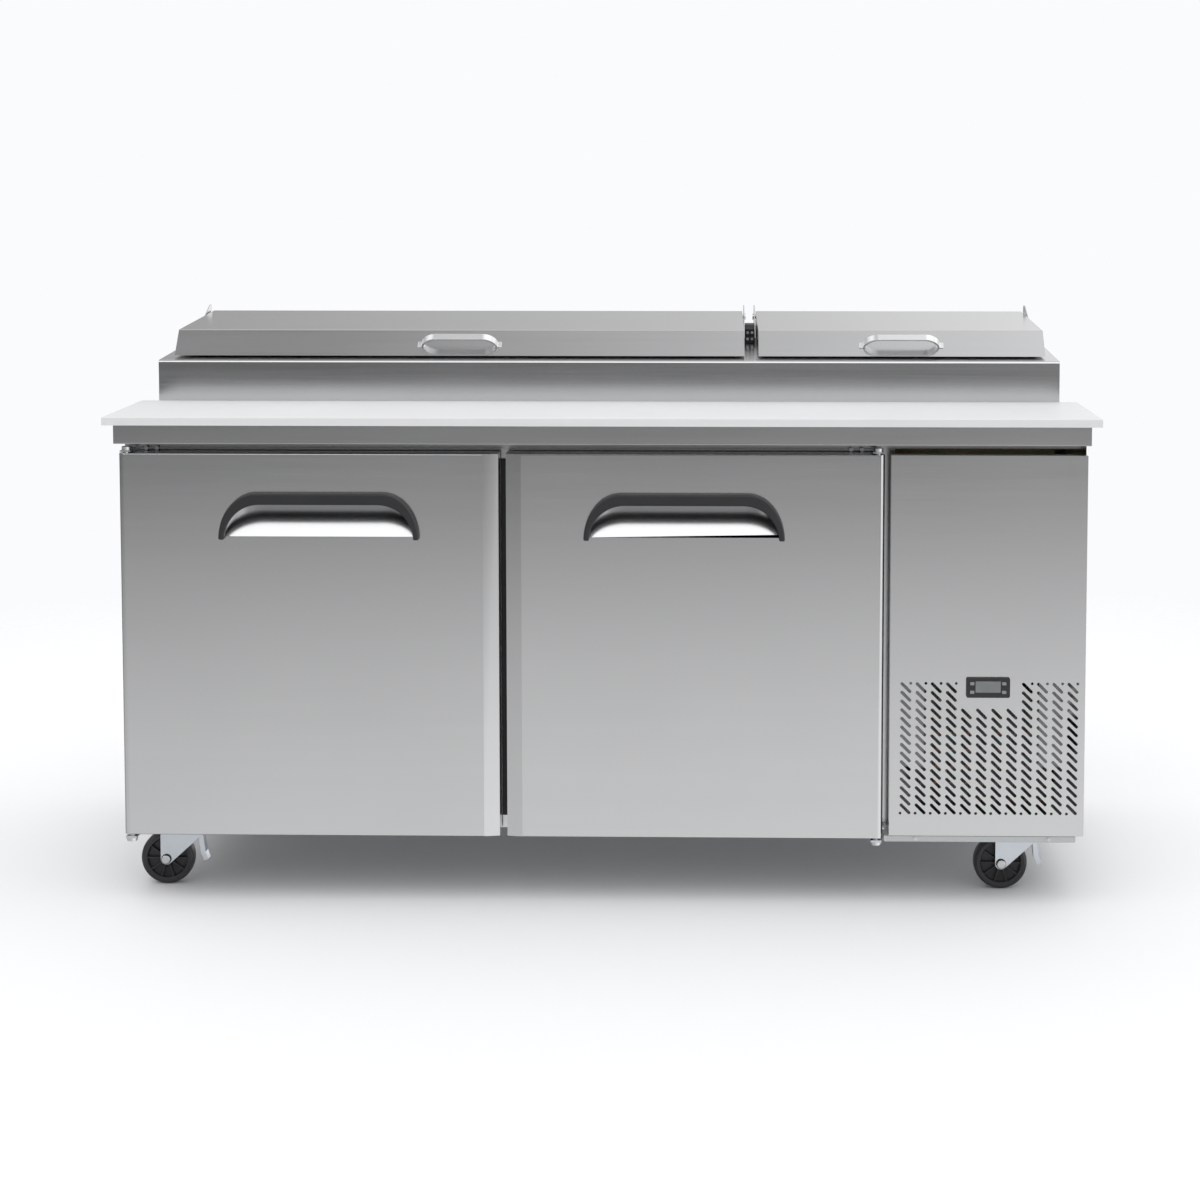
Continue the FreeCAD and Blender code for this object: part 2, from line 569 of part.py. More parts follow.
def door_gasket(x):
    """Magnetic gasket frame on the back of the door."""
    y = (DOOR_Y + DOOR_T, FRAME_Y)
    a, b = GASKET_INSET, GASKET_INSET + GASKET_W
    low, high = DOOR_Z[0] + a, DOOR_Z[1] - a
    uprights = [box(side, y, (low, high)) for side in ((x[0] + a, x[0] + b), (x[1] - b, x[1] - a))]
    rails = [box((x[0] + b, x[1] - b), y, z) for z in ((low, low + GASKET_W), (high - GASKET_W, high))]
    return compound(uprights + rails)


def door_handle(x, hinge):
    """Black bow over the finger cup."""
    middle = handle_middle(x, hinge)
    front = DOOR_Y - HANDLE_OUT
    outer = arch_face(middle, 185.5, 86.0, 68.0, HANDLE_Z, front).extrude(V(0, HANDLE_OUT, 0))
    inner = arch_face(middle, 175.0, 65.0, 66.0, HANDLE_Z, front).extrude(V(0, HANDLE_OUT, 0))
    return outer.cut(inner)


def door_hinge_brackets():
    """Steel brackets above and below each door's hinge edge."""
    plates = []
    for x, hinge in ((DOOR_LEFT_X, -1), (DOOR_RIGHT_X, 1)):
        px, py = pin_axis(x, hinge)
        span = sorted((px + hinge * 12.0, px - hinge * BRACKET_REACH))
        nose = (px - 10.0, px + 10.0)
        upper_arm = box(nose, (py - 10.0, FRAME_Y), BRACKET_TOP_Z)
        upper_leg = box(span, (FRAME_Y - 4.0, FRAME_Y), BRACKET_TOP_Z)
        lower_arm = box(nose, (py - 10.0, FRAME_Y), BRACKET_LOW_Z)
        lower_leg = box(span, (FRAME_Y - 4.0, FRAME_Y), (BRACKET_LOW_Z[0], BASE_Z))
        foot = box(span, (FRAME_Y, FRAME_Y + 20.0), (BASE_Z - 4.0, BASE_Z))
        hole = rod(PIN_R, (px, py, BRACKET_LOW_Z[0] - 5), (px, py, BRACKET_TOP_Z[1] + 5))
        plates.append(fuse(upper_arm, upper_leg).cut(hole))
        plates.append(fuse(lower_arm, lower_leg, foot).cut(hole))
    return compound(plates)


def hinge_pins():
    """Door pivot pins with their caps, and the lids' pivot pins."""
    pins = []
    for x, hinge in ((DOOR_LEFT_X, -1), (DOOR_RIGHT_X, 1)):
        px, py = pin_axis(x, hinge)
        top, low = BRACKET_TOP_Z[1], BRACKET_LOW_Z[0]
        pins.append(fuse(rod(PIN_R, (px, py, DOOR_Z[1] - 28), (px, py, top)),
                         rod(8.0, (px, py, top), (px, py, top + 7.0))))
        pins.append(fuse(rod(PIN_R, (px, py, low), (px, py, DOOR_Z[0] + 28)),
                         rod(10.0, (px, py, low - 6.0), (px, py, low))))
    y, z = LID_PIVOT
    reach = 14.0
    for ear, side in zip(EARS_X, (1, -1, 1, -1)):
        inner = ear + EAR_T if side > 0 else ear
        outer = ear if side > 0 else ear + EAR_T
        shaft = rod(LID_PIN_R, (outer, y, z), (inner + side * reach, y, z))
        head = rod(6.5, (outer - side * 2.5, y, z), (outer, y, z))
        pins.append(on_rim(fuse(shaft, head)))
    return compound(pins)


def round_head(radius, place, outward):
    """The half-round head of a screw."""
    return Part.makeSphere(radius, place, outward, 0, 90, 360)


def bracket_screws():
    """Round-head screws that hold the hinge brackets, the centre block and the machine tray."""
    screws = []
    for x, hinge in ((DOOR_LEFT_X, -1), (DOOR_RIGHT_X, 1)):
        px, _ = pin_axis(x, hinge)
        for step in (28.0, 48.0):
            sx = px - hinge * step
            screws.append(round_head(4.5, V(sx, FRAME_Y + 10.0, BASE_Z - 4.0), V(0, 0, -1)))
            screws.append(round_head(4.0, V(sx, FRAME_Y - 4.0, DOOR_Z[1] + 4.0), V(0, -1, 0)))
    for x in (EARS_X[1] + EAR_T + 5.5, EARS_X[2] - 5.5):
        for z in (9.0, 22.0):
            screws.append(on_rim(round_head(3.0, V(x, 290.0, z), V(0, -1, 0))))
    for x in TRAY_SCREWS_X:
        screws.append(round_head(3.5, V(x, DOOR_Y + 2.0, BASE_Z - 1.5), V(0, -1, 0)))
    return compound(screws)


# ---- machine compartment ------------------------------------------------------------------------
def slot_wire(x, z, y):
    """A 45-degree slot falling to the right, from its upper centre."""
    r, run = SLOT_R, SLOT_RUN / math.sqrt(2)
    d = r / math.sqrt(2)
    a, b = V(x + r, y, z - r), V(x + r + run, y, z - r - run)
    p = [V(a.x + d, y, a.z + d), V(a.x - d, y, a.z + d), V(a.x - d, y, a.z - d),
         V(b.x - d, y, b.z - d), V(b.x + d, y, b.z - d), V(b.x + d, y, b.z + d)]
    return Part.Wire([Part.Arc(p[0], p[1], p[2]).toShape(), Part.makeLine(p[2], p[3]),
                      Part.Arc(p[3], p[4], p[5]).toShape(), Part.makeLine(p[5], p[0])])


def grille_panel():
    """Front panel of the machine compartment, with its slots, folded edges and controller cut-out."""
    x, z = PANEL_X, PANEL_Z
    y = DOOR_Y
    holes = []
    for column in range(SLOT_COLUMNS):
        sx = SLOT_FIRST[0] + SLOT_PITCH_X * column
        first = BLANK_ROWS if column in BLANK_COLUMNS else 0
        for row in range(first, SLOT_ROWS):
            holes.append(slot_wire(sx, SLOT_FIRST[1] - SLOT_PITCH_Z * row, y))
        low = V(sx + 1.0, y, SLOT_FIRST[1] - SLOT_PITCH_Z * SLOT_ROWS - 2.0)
        rounds = [low]
        if not first:
            rounds.append(V(sx + 19.0, y, SLOT_FIRST[1] - 2.0))
        for centre in rounds:
            holes.append(Part.Wire(Part.makeCircle(DOT_R, centre, V(0, 1, 0))))
    cut_w, cut_h = CONTROL_W - 8.0, CONTROL_H - 8.0
    corners = [V(CONTROL_X + a * cut_w / 2, y, CONTROL_Z + b * cut_h / 2) for a, b in
               ((-1, -1), (1, -1), (1, 1), (-1, 1), (-1, -1))]
    holes.append(Part.makePolygon(corners))
    border = Part.makePolygon([V(a, y, b) for a, b in
                               ((x[0], z[0]), (x[1], z[0]), (x[1], z[1]), (x[0], z[1]), (x[0], z[0]))])
    sheet = Part.makeFace([border] + holes, "Part::FaceMakerCheese").extrude(V(0, SHEET, 0))
    depth = 22.0
    folds = [box((x[0], x[0] + SHEET), (y, y + depth), z), box((x[1] - SHEET, x[1]), (y, y + depth), z),
             box(x, (y, y + depth), (z[1] - SHEET, z[1])), box(x, (y, y + depth), (z[0], z[0] + SHEET))]
    return fuse(sheet, *folds)


def machine_cover():
    """Right side and louvred back of the machine compartment."""
    height = (BASE_Z, DECK_Z - SHEET)
    side = box((BODY_X - SHEET, BODY_X), (DOOR_Y + 22.5, BACK_Y), height)
    rear = (BACK_Y - SHEET, BACK_Y)
    back = fuse(box((PARTITION_X + 0.5, BODY_X - SHEET), rear, height),
                box((PARTITION_X + 0.5, RISER_W / 2), rear, (DECK_Z - SHEET, DECK_Z)))
    vents = []
    for row in range(14):
        low_edge = 190.0 + 24.0 * row
        for column in range(3):
            left = PARTITION_X + 42.0 + 100.0 * column
            vents.append(box((left, left + 80.0), (BACK_Y - 5, BACK_Y + 5), (low_edge, low_edge + 8.0)))
    gland = rod(7.5, (GLAND[0], BACK_Y - 5, GLAND[1]), (GLAND[0], BACK_Y + 5, GLAND[1]))
    return compound([side, back.cut(vents + [gland])])


def machine_base_tray():
    """Floor tray of the machine compartment, with the front lip below the grille panel."""
    thickness = (BASE_Z, BASE_Z + 2.0)
    floor = box((PARTITION_X + 0.5, BODY_X - SHEET), (DOOR_Y + 24.0, BACK_Y - SHEET), thickness)
    notch = box((PARTITION_X, PARTITION_X + STILE_REACH), (FRAME_Y, FRAME_Y + FRAME_T), thickness)
    lip = box((PARTITION_X - 5.0, BODY_X - 14.0), (DOOR_Y + 2.0, DOOR_Y + 24.0), (BASE_Z - 7.0, BASE_Z + 4.0))
    lower = [edge for edge in lip.Edges if edge.BoundBox.YLength > 20.0 and edge.BoundBox.ZMax < BASE_Z]
    return fuse(floor.cut(notch), lip.makeFillet(3.0, lower))


def cord_gland():
    """Gland in the back cover that a supply cord would leave through."""
    x, z = GLAND
    body = rod(11.0, (x, BACK_Y - 12.0, z), (x, BACK_Y - 1.0, z))
    neck = rod(7.5, (x, BACK_Y - 1.0, z), (x, BACK_Y, z))
    return fuse(body, neck).cut(rod(4.0, (x, BACK_Y - 20, z), (x, BACK_Y + 5, z)))


def rounded_bar(middle, size, radius, y):
    """A plate with rounded corners facing -Y: size is (width, height), y is (front, back)."""
    w, h = size[0] / 2, size[1] / 2
    plate = box((middle[0] - w, middle[0] + w), y, (middle[1] - h, middle[1] + h))
    corners = [edge for edge in plate.Edges
               if abs(edge.BoundBox.YLength - (y[1] - y[0])) < 0.1 and edge.BoundBox.XLength < 0.1]
    return plate.makeFillet(radius, corners)


def controller_body():
    """Thermostat housing: bezel in front of the panel and box behind it."""
    front = (DOOR_Y - BEZEL_T, DOOR_Y)
    bezel = rounded_bar((CONTROL_X, CONTROL_Z), (CONTROL_W, CONTROL_H), 4.0, front)
    rear = box((CONTROL_X - 35.0, CONTROL_X + 35.0), (DOOR_Y, DOOR_Y + CONTROL_DEPTH),
               (CONTROL_Z - 14.0, CONTROL_Z + 14.0))
    window = box((CONTROL_X - 23.5, CONTROL_X + 23.5), (front[0] - 1, front[0] + 1.5),
                 (CONTROL_Z - 9.5, CONTROL_Z + 12.0))
    wells = []
    for dx, dz in BUTTON_OFFSETS.values():
        w, h = BUTTON_SIZE[0] / 2 + 0.25, BUTTON_SIZE[1] / 2 + 0.25
        wells.append(box((CONTROL_X + dx - w, CONTROL_X + dx + w), (front[0] - 1, front[0] + 3.5),
                         (CONTROL_Z + dz - h, CONTROL_Z + dz + h)))
    return fuse(bezel, rear).cut([window] + wells)


def controller_window():
    """Clear cover of the temperature display."""
    front = DOOR_Y - BEZEL_T
    pane = (CONTROL_X - 23.3, CONTROL_X + 23.3)
    return box(pane, (front + 0.3, front + 1.5), (CONTROL_Z - 9.3, CONTROL_Z + 11.8))


def controller_button(offset):
    """A push button that stands just proud of the bezel."""
    dx, dz = offset
    front = DOOR_Y - BEZEL_T
    return rounded_bar((CONTROL_X + dx, CONTROL_Z + dz), BUTTON_SIZE, 1.2, (front - 0.8, front + 2.2))


# ---- refrigeration ------------------------------------------------------------------------------
def compressor():
    """Hermetic compressor can on its base plate and rubber feet."""
    cx, cy = COMPRESSOR
    foot = BASE_Z + 2.0
    can = rod(COMPRESSOR_R, (cx, cy, foot + 30.0), (cx, cy, foot + 150.0))
    dome = Part.makeSphere(COMPRESSOR_R, V(0, 0, 0))
    matrix = FreeCAD.Matrix()
    matrix.scale(1.0, 1.0, 0.4)
    dome = dome.transformGeometry(matrix)
    top, bottom = dome.copy(), dome.copy()
    top.translate(V(cx, cy, foot + 150.0))
    bottom.translate(V(cx, cy, foot + 44.0))
    plate = box((cx - 95.0, cx + 95.0), (cy - 60.0, cy + 60.0), (foot + 14.0, foot + 18.0))
    body = can.fuse([top, bottom, plate])
    feet = [rod(12.0, (cx + sx * 80.0, cy + sy * 46.0, foot), (cx + sx * 80.0, cy + sy * 46.0, foot + 14.0))
            for sx in (-1, 1) for sy in (-1, 1)]
    return compound([body] + feet)


def condenser_coil():
    """Finned condenser block standing behind the grille."""
    cx, cy, cz = FAN_CONDENSER
    return box((cx - 130.0, cx + 130.0), (cy - 100.0, cy - 56.0), (BASE_Z + 2.0, cz + 125.0))


def condenser_fan_shroud():
    """Plate with the fan's air ring behind the condenser, and the motor on its bracket."""
    cx, cy, cz = FAN_CONDENSER
    plate = box((cx - 130.0, cx + 130.0), (cy - 56.0, cy - 54.0), (BASE_Z + 2.0, cz + 125.0))
    ring = rod(FAN_CONDENSER_R + 10.0, (cx, cy - 54.0, cz), (cx, cy + 12.0, cz))
    bore = rod(FAN_CONDENSER_R + 7.0, (cx, cy - 60.0, cz), (cx, cy + 20.0, cz))
    return fuse(plate, ring).cut(bore)


def condenser_fan_motor():
    """Fan motor with its shaft, on a bar across the back of the shroud."""
    cx, cy, cz = FAN_CONDENSER
    motor = rod(36.0, (cx, cy + 26.0, cz), (cx, cy + 78.0, cz))
    shaft = rod(4.0, (cx, cy - 12.0, cz), (cx, cy + 26.0, cz))
    bar = box((cx - 118.0, cx + 118.0), (cy + 78.0, cy + 81.0), (cz - 12.0, cz + 12.0))
    legs = [box((x - 1.5, x + 1.5), (cy - 54.0, cy + 78.0), (cz - 12.0, cz + 12.0))
            for x in (cx - 116.5, cx + 116.5)]
    return fuse(motor, shaft, bar, *legs)


def air_baffles():
    """Sheets on both sides of the condenser that send the air from the slots through the fins."""
    front, coil = DOOR_Y + 42.0, FAN_CONDENSER[1] - 100.0
    baffles = []
    for span, leg in (((540.0, 602.0), 602.0 - BAFFLE_T), ((815.0, 862.0), 815.0)):
        face = box(span, (front, front + BAFFLE_T), BAFFLE_Z)
        web = box((leg, leg + BAFFLE_T), (front, coil), (BAFFLE_Z[0], FAN_CONDENSER[2] + 125.0))
        baffles.append(fuse(face, web))
    return compound(baffles)


def fan_blade(centre, radius, along, count=5):
    """Axial fan: a bored hub and pitched blades, turning about X or Y."""
    hub_r, hub_l = radius * 0.22, 20.0
    hub = rod(hub_r, (0, 0, -hub_l / 2), (0, 0, hub_l / 2))
    blades = []
    for k in range(count):
        blade = box((hub_r - 3.0, radius), (-radius * 0.24, radius * 0.24), (-0.8, 0.8))
        blade.rotate(V(0, 0, 0), V(1, 0, 0), 24.0)
        blade.rotate(V(0, 0, 0), V(0, 0, 1), 360.0 * k / count)
        blades.append(blade)
    fan = fuse(hub, *blades).cut(rod(4.05, (0, 0, -30), (0, 0, 30)))
    fan = fan.common(rod(radius, (0, 0, -40), (0, 0, 40)))
    fan.rotate(V(0, 0, 0), V(1, 0, 0) if along == "y" else V(0, 1, 0), 90.0)
    fan.translate(V(*centre))
    return fan


def evaporator_coil():
    """Finned evaporator block on the cold cabinet's right wall."""
    return box((448.0, 476.0), (-90.0, 250.0), (520.0, 780.0))


def evaporator_cover():
    """Sheet cover over the evaporator with a round fan opening, and the fan's shaft."""
    x, y, z = (398.0, PARTITION_X - WALL - SHEET), (-110.0, 270.0), (500.0, 800.0)
    cover = box(x, y, z).cut(box((x[0] + 1.5, x[1]), (y[0] + 1.5, y[1] - 1.5), (z[0] + 1.5, z[1] - 1.5)))
    fx, fy, fz = FAN_EVAPORATOR
    cover = cover.cut(rod(FAN_EVAPORATOR_R + 4.0, (x[0] - 5, fy, fz), (x[0] + 5, fy, fz)))
    vents = [box((x[0] - 5, x[0] + 5), (155.0, 250.0), (low, low + 10.0))
             for low in (540.0 + 26.0 * k for k in range(9))]
    cover = cover.cut(vents)
    shaft = rod(4.0, (fx - 12.0, fy, fz), (448.0, fy, fz))
    return compound([cover, shaft])


def refrigerant_pipes():
    """Suction and discharge pipes in the machine compartment, in straight runs with bends."""
    bend, rear = 20.0, 300.0
    pipes = []
    for side, high, x in ((-1, 345.0, 560.0), (1, 397.0, 582.0)):
        start = V(COMPRESSOR[0] + side * 25.0, COMPRESSOR[1], BASE_Z + 179.5)
        points = [start, V(start.x, start.y, high), V(start.x, rear, high), V(x, rear, high),
                  V(x, rear, 560.0)]
        edges = []
        before = points[0]
        for here, after in zip(points[1:-1], points[2:]):
            come, go = (here - before).normalize(), (after - here).normalize()
            a, b = here - come * bend, here + go * bend
            edges.append(Part.makeLine(before, a))
            centre = here - come * bend + go * bend
            middle = centre + (here - centre).normalize() * bend
            edges.append(Part.Arc(a, middle, b).toShape())
            before = b
        edges.append(Part.makeLine(before, points[-1]))
        ring = Part.Wire(Part.makeCircle(4.8, start, V(0, 0, 1)))
        pipes.append(Part.Wire(edges).makePipeShell([ring], True, False))
    return compound(pipes)


# ---- shelves ------------------------------------------------------------------------------------
def rounded_frame(x, y, z, corner, radius):
    """A closed ring of round wire with rounded corners."""
    edges = []
    corners = [(x[1], y[1], 0), (x[0], y[1], 90), (x[0], y[0], 180), (x[1], y[0], 270)]
    start = V(x[1], (y[0] + y[1]) / 2, z)
    here = start
    for cx, cy, turn in corners:
        centre = V(cx - math.copysign(corner, cx - sum(x) / 2),
                   cy - math.copysign(corner, cy - sum(y) / 2), z)
        angles = [math.radians(turn + step) for step in (0, 45, 90)]
        points = [centre + V(corner * math.cos(a), corner * math.sin(a), 0) for a in angles]
        edges.append(Part.makeLine(here, points[0]))
        edges.append(Part.Arc(*points).toShape())
        here = points[2]
    edges.append(Part.makeLine(here, start))
    ring = Part.Wire(Part.makeCircle(radius, start, V(0, 1, 0)))
    return Part.Wire(edges).makePipeShell([ring], True, False)


def shelf(x):
    """Wire shelf: a round-cornered frame, two rails across it, and front-to-back wires on top."""
    z, y = SHELF_Z, SHELF_Y
    r, w = FRAME_WIRE_R, WIRE_R
    solids = [rounded_frame(x, y, z, 20.0, r)]
    for share in (0.33, 0.67):
        rail_y = y[0] + share * (y[1] - y[0])
        solids.append(rod(r, (x[0] + r, rail_y, z), (x[1] - r, rail_y, z)))
    count = int((x[1] - x[0]) / 26.0)
    top = z + r + w
    for k in range(1, count):
        wx = x[0] + (x[1] - x[0]) * k / count
        solids.append(rod(w, (wx, y[0], top), (wx, y[1], top)))
    return compound(solids)


def shelf_clips():
    """Clips on the liner, mullion and evaporator side that the shelves rest on."""
    z = (SHELF_Z - FRAME_WIRE_R - 10.0, SHELF_Z - FRAME_WIRE_R)
    liner_left, liner_right = -BODY_X + WALL + 2 * SHEET, PARTITION_X - WALL - SHEET
    post = (MULLION_X[0] + MULLION_X[1]) / 2
    frame, back = FRAME_Y + FRAME_T, BACK_Y - WALL - 2 * SHEET
    clips = []
    for y in ((-200.0, -182.0), (265.0, 283.0)):
        clips.append(box((liner_left, liner_left + 14.0), y, z))
        clips.append(box((liner_right - 125.0, liner_right), y, z))
    for y in ((frame, frame + 40.0), (back - 40.0, back)):
        clips.append(box((post - 25.0, post + 25.0), y, z))
    return compound(clips)


# ---- casters ------------------------------------------------------------------------------------
def caster_plates():
    """Top plates with their upper raceways and kingpins, bolted under the cabinet."""
    plates = []
    for cx, cy in CASTERS.values():
        plate = box((cx - 47.0, cx + 47.0), (cy - 34.0, cy + 34.0), (BASE_Z - 4.0, BASE_Z))
        race = rod(27.0, (cx, cy, BASE_Z - 8.0), (cx, cy, BASE_Z - 4.0))
        pin = rod(KINGPIN_R, (cx, cy, 98.0), (cx, cy, BASE_Z - 4.0))
        head = rod(9.5, (cx, cy, 98.0), (cx, cy, 104.5))
        plates.append(fuse(plate, race, pin, head))
    return compound(plates)


def caster_fork(place):
    """Swivel fork: crown and raceway, two horns, and the axle bolt with its nut."""
    cx, cy = place
    ax = cx - TRAIL
    gap, thick = 19.5, 3.0
    crown = box((cx - 41.0, cx + 40.0), (cy - gap - thick, cy + gap + thick), (105.0, 109.0))
    race = rod(29.0, (cx, cy, 109.0), (cx, cy, BASE_Z - 8.3))
    parts = [crown, race]
    for y in (cy - gap - thick, cy + gap):
        outline = [V(ax - 11.0, y, WHEEL_R), V(cx - 41.0, y, 109.0), V(cx + 40.0, y, 109.0),
                   V(cx + 40.0, y, 99.0), V(ax + 9.0, y, WHEEL_R - 7.0)]
        face = Part.Face(Part.makePolygon(outline + outline[:1]))
        boss = Part.makeCylinder(11.0, thick, V(ax, y, WHEEL_R), V(0, 1, 0))
        parts.append(fuse(face.extrude(V(0, thick, 0)), boss))
    fork = fuse(parts[0], *parts[1:])
    fork = fork.cut([rod(KINGPIN_R + 0.06, (cx, cy, 100.0), (cx, cy, 120.0)),
                     rod(AXLE_R, (ax, cy - 30, WHEEL_R), (ax, cy + 30, WHEEL_R))])
    reach = gap + thick
    bolt = fuse(rod(AXLE_R, (ax, cy - reach, WHEEL_R), (ax, cy + reach + 8.0, WHEEL_R)),
                rod(8.0, (ax, cy - reach - 4.0, WHEEL_R), (ax, cy - reach, WHEEL_R)))
    sixths = [math.radians(60 * k) for k in range(7)]
    corners = [V(ax + 8.5 * math.cos(a), cy + reach, WHEEL_R + 8.5 * math.sin(a)) for a in sixths]
    nut = Part.Face(Part.makePolygon(corners)).extrude(V(0, 6.0, 0))
    return compound([fork, bolt, nut.cut(bolt)])


def caster_wheel(place):
    """Solid wheel with a crowned tread, recessed web and bored hub."""
    cx, cy = place
    half = WHEEL_W / 2
    bore = AXLE_R + 0.06
    outline = [(bore, -18.0), (13.0, -18.0), (14.0, -6.0), (36.0, -6.0), (38.0, -half + 1.0), (46.0, -half),
               (WHEEL_R - 1.2, -half + 3.0)]
    tread = [(WHEEL_R, -half + 8.0), (WHEEL_R, half - 8.0)]
    profile = outline + tread + [(r, -y) for r, y in reversed(outline)]
    ring = [V(r, y, 0) for r, y in profile]
    wheel = Part.Face(Part.makePolygon(ring + ring[:1])).revolve(V(0, 0, 0), V(0, 1, 0), 360)
    wheel.translate(V(cx - TRAIL, cy, WHEEL_R))
    return wheel


def caster_brake(place):
    """Foot brake lever on the fork's leading side, with its pivot bar between the horns."""
    cx, cy = place
    px, pz = cx + 34.0, 103.0 - 1.6
    lever = [V(px - 4.0, cy - 11.0, pz - 3.0), V(px + 4.0, cy - 11.0, pz - 3.0), V(px + 9.0, cy - 11.0, 62.0),
             V(px + 14.0, cy - 11.0, 48.0), V(px + 6.0, cy - 11.0, 45.0), V(px - 1.0, cy - 11.0, 62.0)]
    blade = Part.Face(Part.makePolygon(lever + lever[:1])).extrude(V(0, 22.0, 0))
    bar = rod(2.8, (px, cy - 19.0, pz - 1.5), (px, cy + 19.0, pz - 1.5))
    return fuse(blade, bar)


# ---- export -------------------------------------------------------------------------------------
def build():
    """Every node of the table, by name."""
    parts = {
        "cabinet_shell": cabinet_shell(),
        "insulation": insulation(),
        "cabinet_liner": cabinet_liner(),
        "door_frame": door_frame(),
        "mullion_strip": mullion_strip(),
        "worktop_deck": worktop_deck(),
        "cutting_board": cutting_board(),
        "riser_shell": riser_shell(),
        "pan_wells": pan_wells(),
        "food_pans": compound([pan(x) for x in pan_centres()]),
        "lid_hinge_ears": lid_hinge_ears(),
        "lid_centre_block": lid_centre_block(),
        "door_hinge_brackets": door_hinge_brackets(),
        "hinge_pins_and_screws": compound([hinge_pins(), bracket_screws()]),
        "grille_panel": grille_panel(),
        "machine_cover": machine_cover(),
        "machine_base_tray": machine_base_tray(),
        "cord_gland": cord_gland(),
        "controller_body": controller_body(),
        "controller_window": controller_window(),
        "compressor": compressor(),
        "condenser_coil": condenser_coil(),
        "condenser_fan_mount": compound([condenser_fan_shroud(), condenser_fan_motor(), air_baffles()]),
        "condenser_fan_blade": fan_blade(FAN_CONDENSER, FAN_CONDENSER_R, "y"),
        "evaporator_coil": evaporator_coil(),
        "evaporator_cover": evaporator_cover(),
        "evaporator_fan_blade": fan_blade(FAN_EVAPORATOR, FAN_EVAPORATOR_R, "x"),
        "refrigerant_pipes": refrigerant_pipes(),
        "shelf_left": shelf(SHELF_LEFT_X),
        "shelf_right": shelf(SHELF_RIGHT_X),
        "shelf_clips": shelf_clips(),
        "caster_plates": caster_plates(),
    }
    for side, x in (("left", LID_LEFT_X), ("right", LID_RIGHT_X)):
        parts[f"lid_{side}_shell"] = lid_shell(x)
        parts[f"lid_{side}_core"] = lid_core(x)
        parts[f"lid_{side}_handle"] = lid_handle(x)
    for side, x, hinge in (("left", DOOR_LEFT_X, -1), ("right", DOOR_RIGHT_X, 1)):
        parts[f"door_{side}_skin"] = door_skin(x, hinge)
        parts[f"door_{side}_inner_panel"] = door_inner_panel(x, hinge)
        parts[f"door_{side}_gasket"] = door_gasket(x)
        parts[f"door_{side}_handle"] = door_handle(x, hinge)
    for name, offset in BUTTON_OFFSETS.items():
        parts[f"controller_button_{name}"] = controller_button(offset)
    for corner, place in CASTERS.items():
        parts[f"caster_{corner}_fork"] = caster_fork(place)
        parts[f"caster_{corner}_wheel"] = caster_wheel(place)
        if corner.startswith("f"):
            parts[f"caster_{corner}_brake"] = caster_brake(place)
    return parts


os.makedirs("parts", exist_ok=True)
made = build()
for node, shape in sorted(made.items()):
    if not shape.isValid():
        print("not valid:", node)
    shape.exportStep(f"parts/{node}.step")
print(len(made), "nodes")
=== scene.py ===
"""Finished look of a stainless two-door prep table on casters: meshes and finishes around the frame."""

import json
import math

import bmesh
import bpy
from mathutils import Matrix, Vector


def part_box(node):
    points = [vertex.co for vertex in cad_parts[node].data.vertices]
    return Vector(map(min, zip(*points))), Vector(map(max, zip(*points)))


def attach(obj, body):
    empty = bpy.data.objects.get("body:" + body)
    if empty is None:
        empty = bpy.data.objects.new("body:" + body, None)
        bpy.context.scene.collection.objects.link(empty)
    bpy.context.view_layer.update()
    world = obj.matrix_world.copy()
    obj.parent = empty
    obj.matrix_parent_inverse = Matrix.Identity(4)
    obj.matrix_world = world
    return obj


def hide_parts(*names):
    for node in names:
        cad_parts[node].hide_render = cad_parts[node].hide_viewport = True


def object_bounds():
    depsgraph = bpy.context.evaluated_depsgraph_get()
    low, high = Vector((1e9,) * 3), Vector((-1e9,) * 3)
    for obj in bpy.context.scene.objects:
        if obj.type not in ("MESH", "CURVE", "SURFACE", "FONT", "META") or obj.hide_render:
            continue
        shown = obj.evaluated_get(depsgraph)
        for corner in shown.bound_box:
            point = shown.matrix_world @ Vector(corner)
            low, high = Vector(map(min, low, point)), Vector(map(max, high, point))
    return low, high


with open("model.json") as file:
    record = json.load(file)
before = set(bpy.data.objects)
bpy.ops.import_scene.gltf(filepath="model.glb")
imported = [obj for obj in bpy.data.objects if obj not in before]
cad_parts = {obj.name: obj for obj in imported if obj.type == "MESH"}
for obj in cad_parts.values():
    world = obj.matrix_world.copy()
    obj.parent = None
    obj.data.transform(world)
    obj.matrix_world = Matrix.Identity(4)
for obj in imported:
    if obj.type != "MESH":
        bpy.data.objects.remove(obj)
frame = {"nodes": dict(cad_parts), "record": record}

CAD_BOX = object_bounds()
NODES = frame["nodes"]
RECORD = frame["record"]
BODY_OF = {node: body for body, nodes in RECORD["behaviour"]["bodies"].items() for node in nodes}
SLOT_OF = {part["node"]: part["material_slot"] for part in RECORD["subparts"]}
MM = 0.001


# ---- shader arithmetic --------------------------------------------------------------------------
class Wire:
    """A shader socket that takes part in sums."""

    def __init__(self, finish, socket):
        self.finish = finish
        self.socket = socket

    def math(self, operation, first, second):
        return self.finish.node("ShaderNodeMath", {"operation": operation}, {0: first, 1: second})

    def __add__(self, other):
        return self.math("ADD", self, other)

    __radd__ = __add__

    def __sub__(self, other):
        return self.math("SUBTRACT", self, other)

    def __rsub__(self, other):
        return self.math("SUBTRACT", other, self)

    def __mul__(self, other):
        return self.math("MULTIPLY", self, other)

    __rmul__ = __mul__

    def __pow__(self, power):
        return self.math("POWER", self, power)


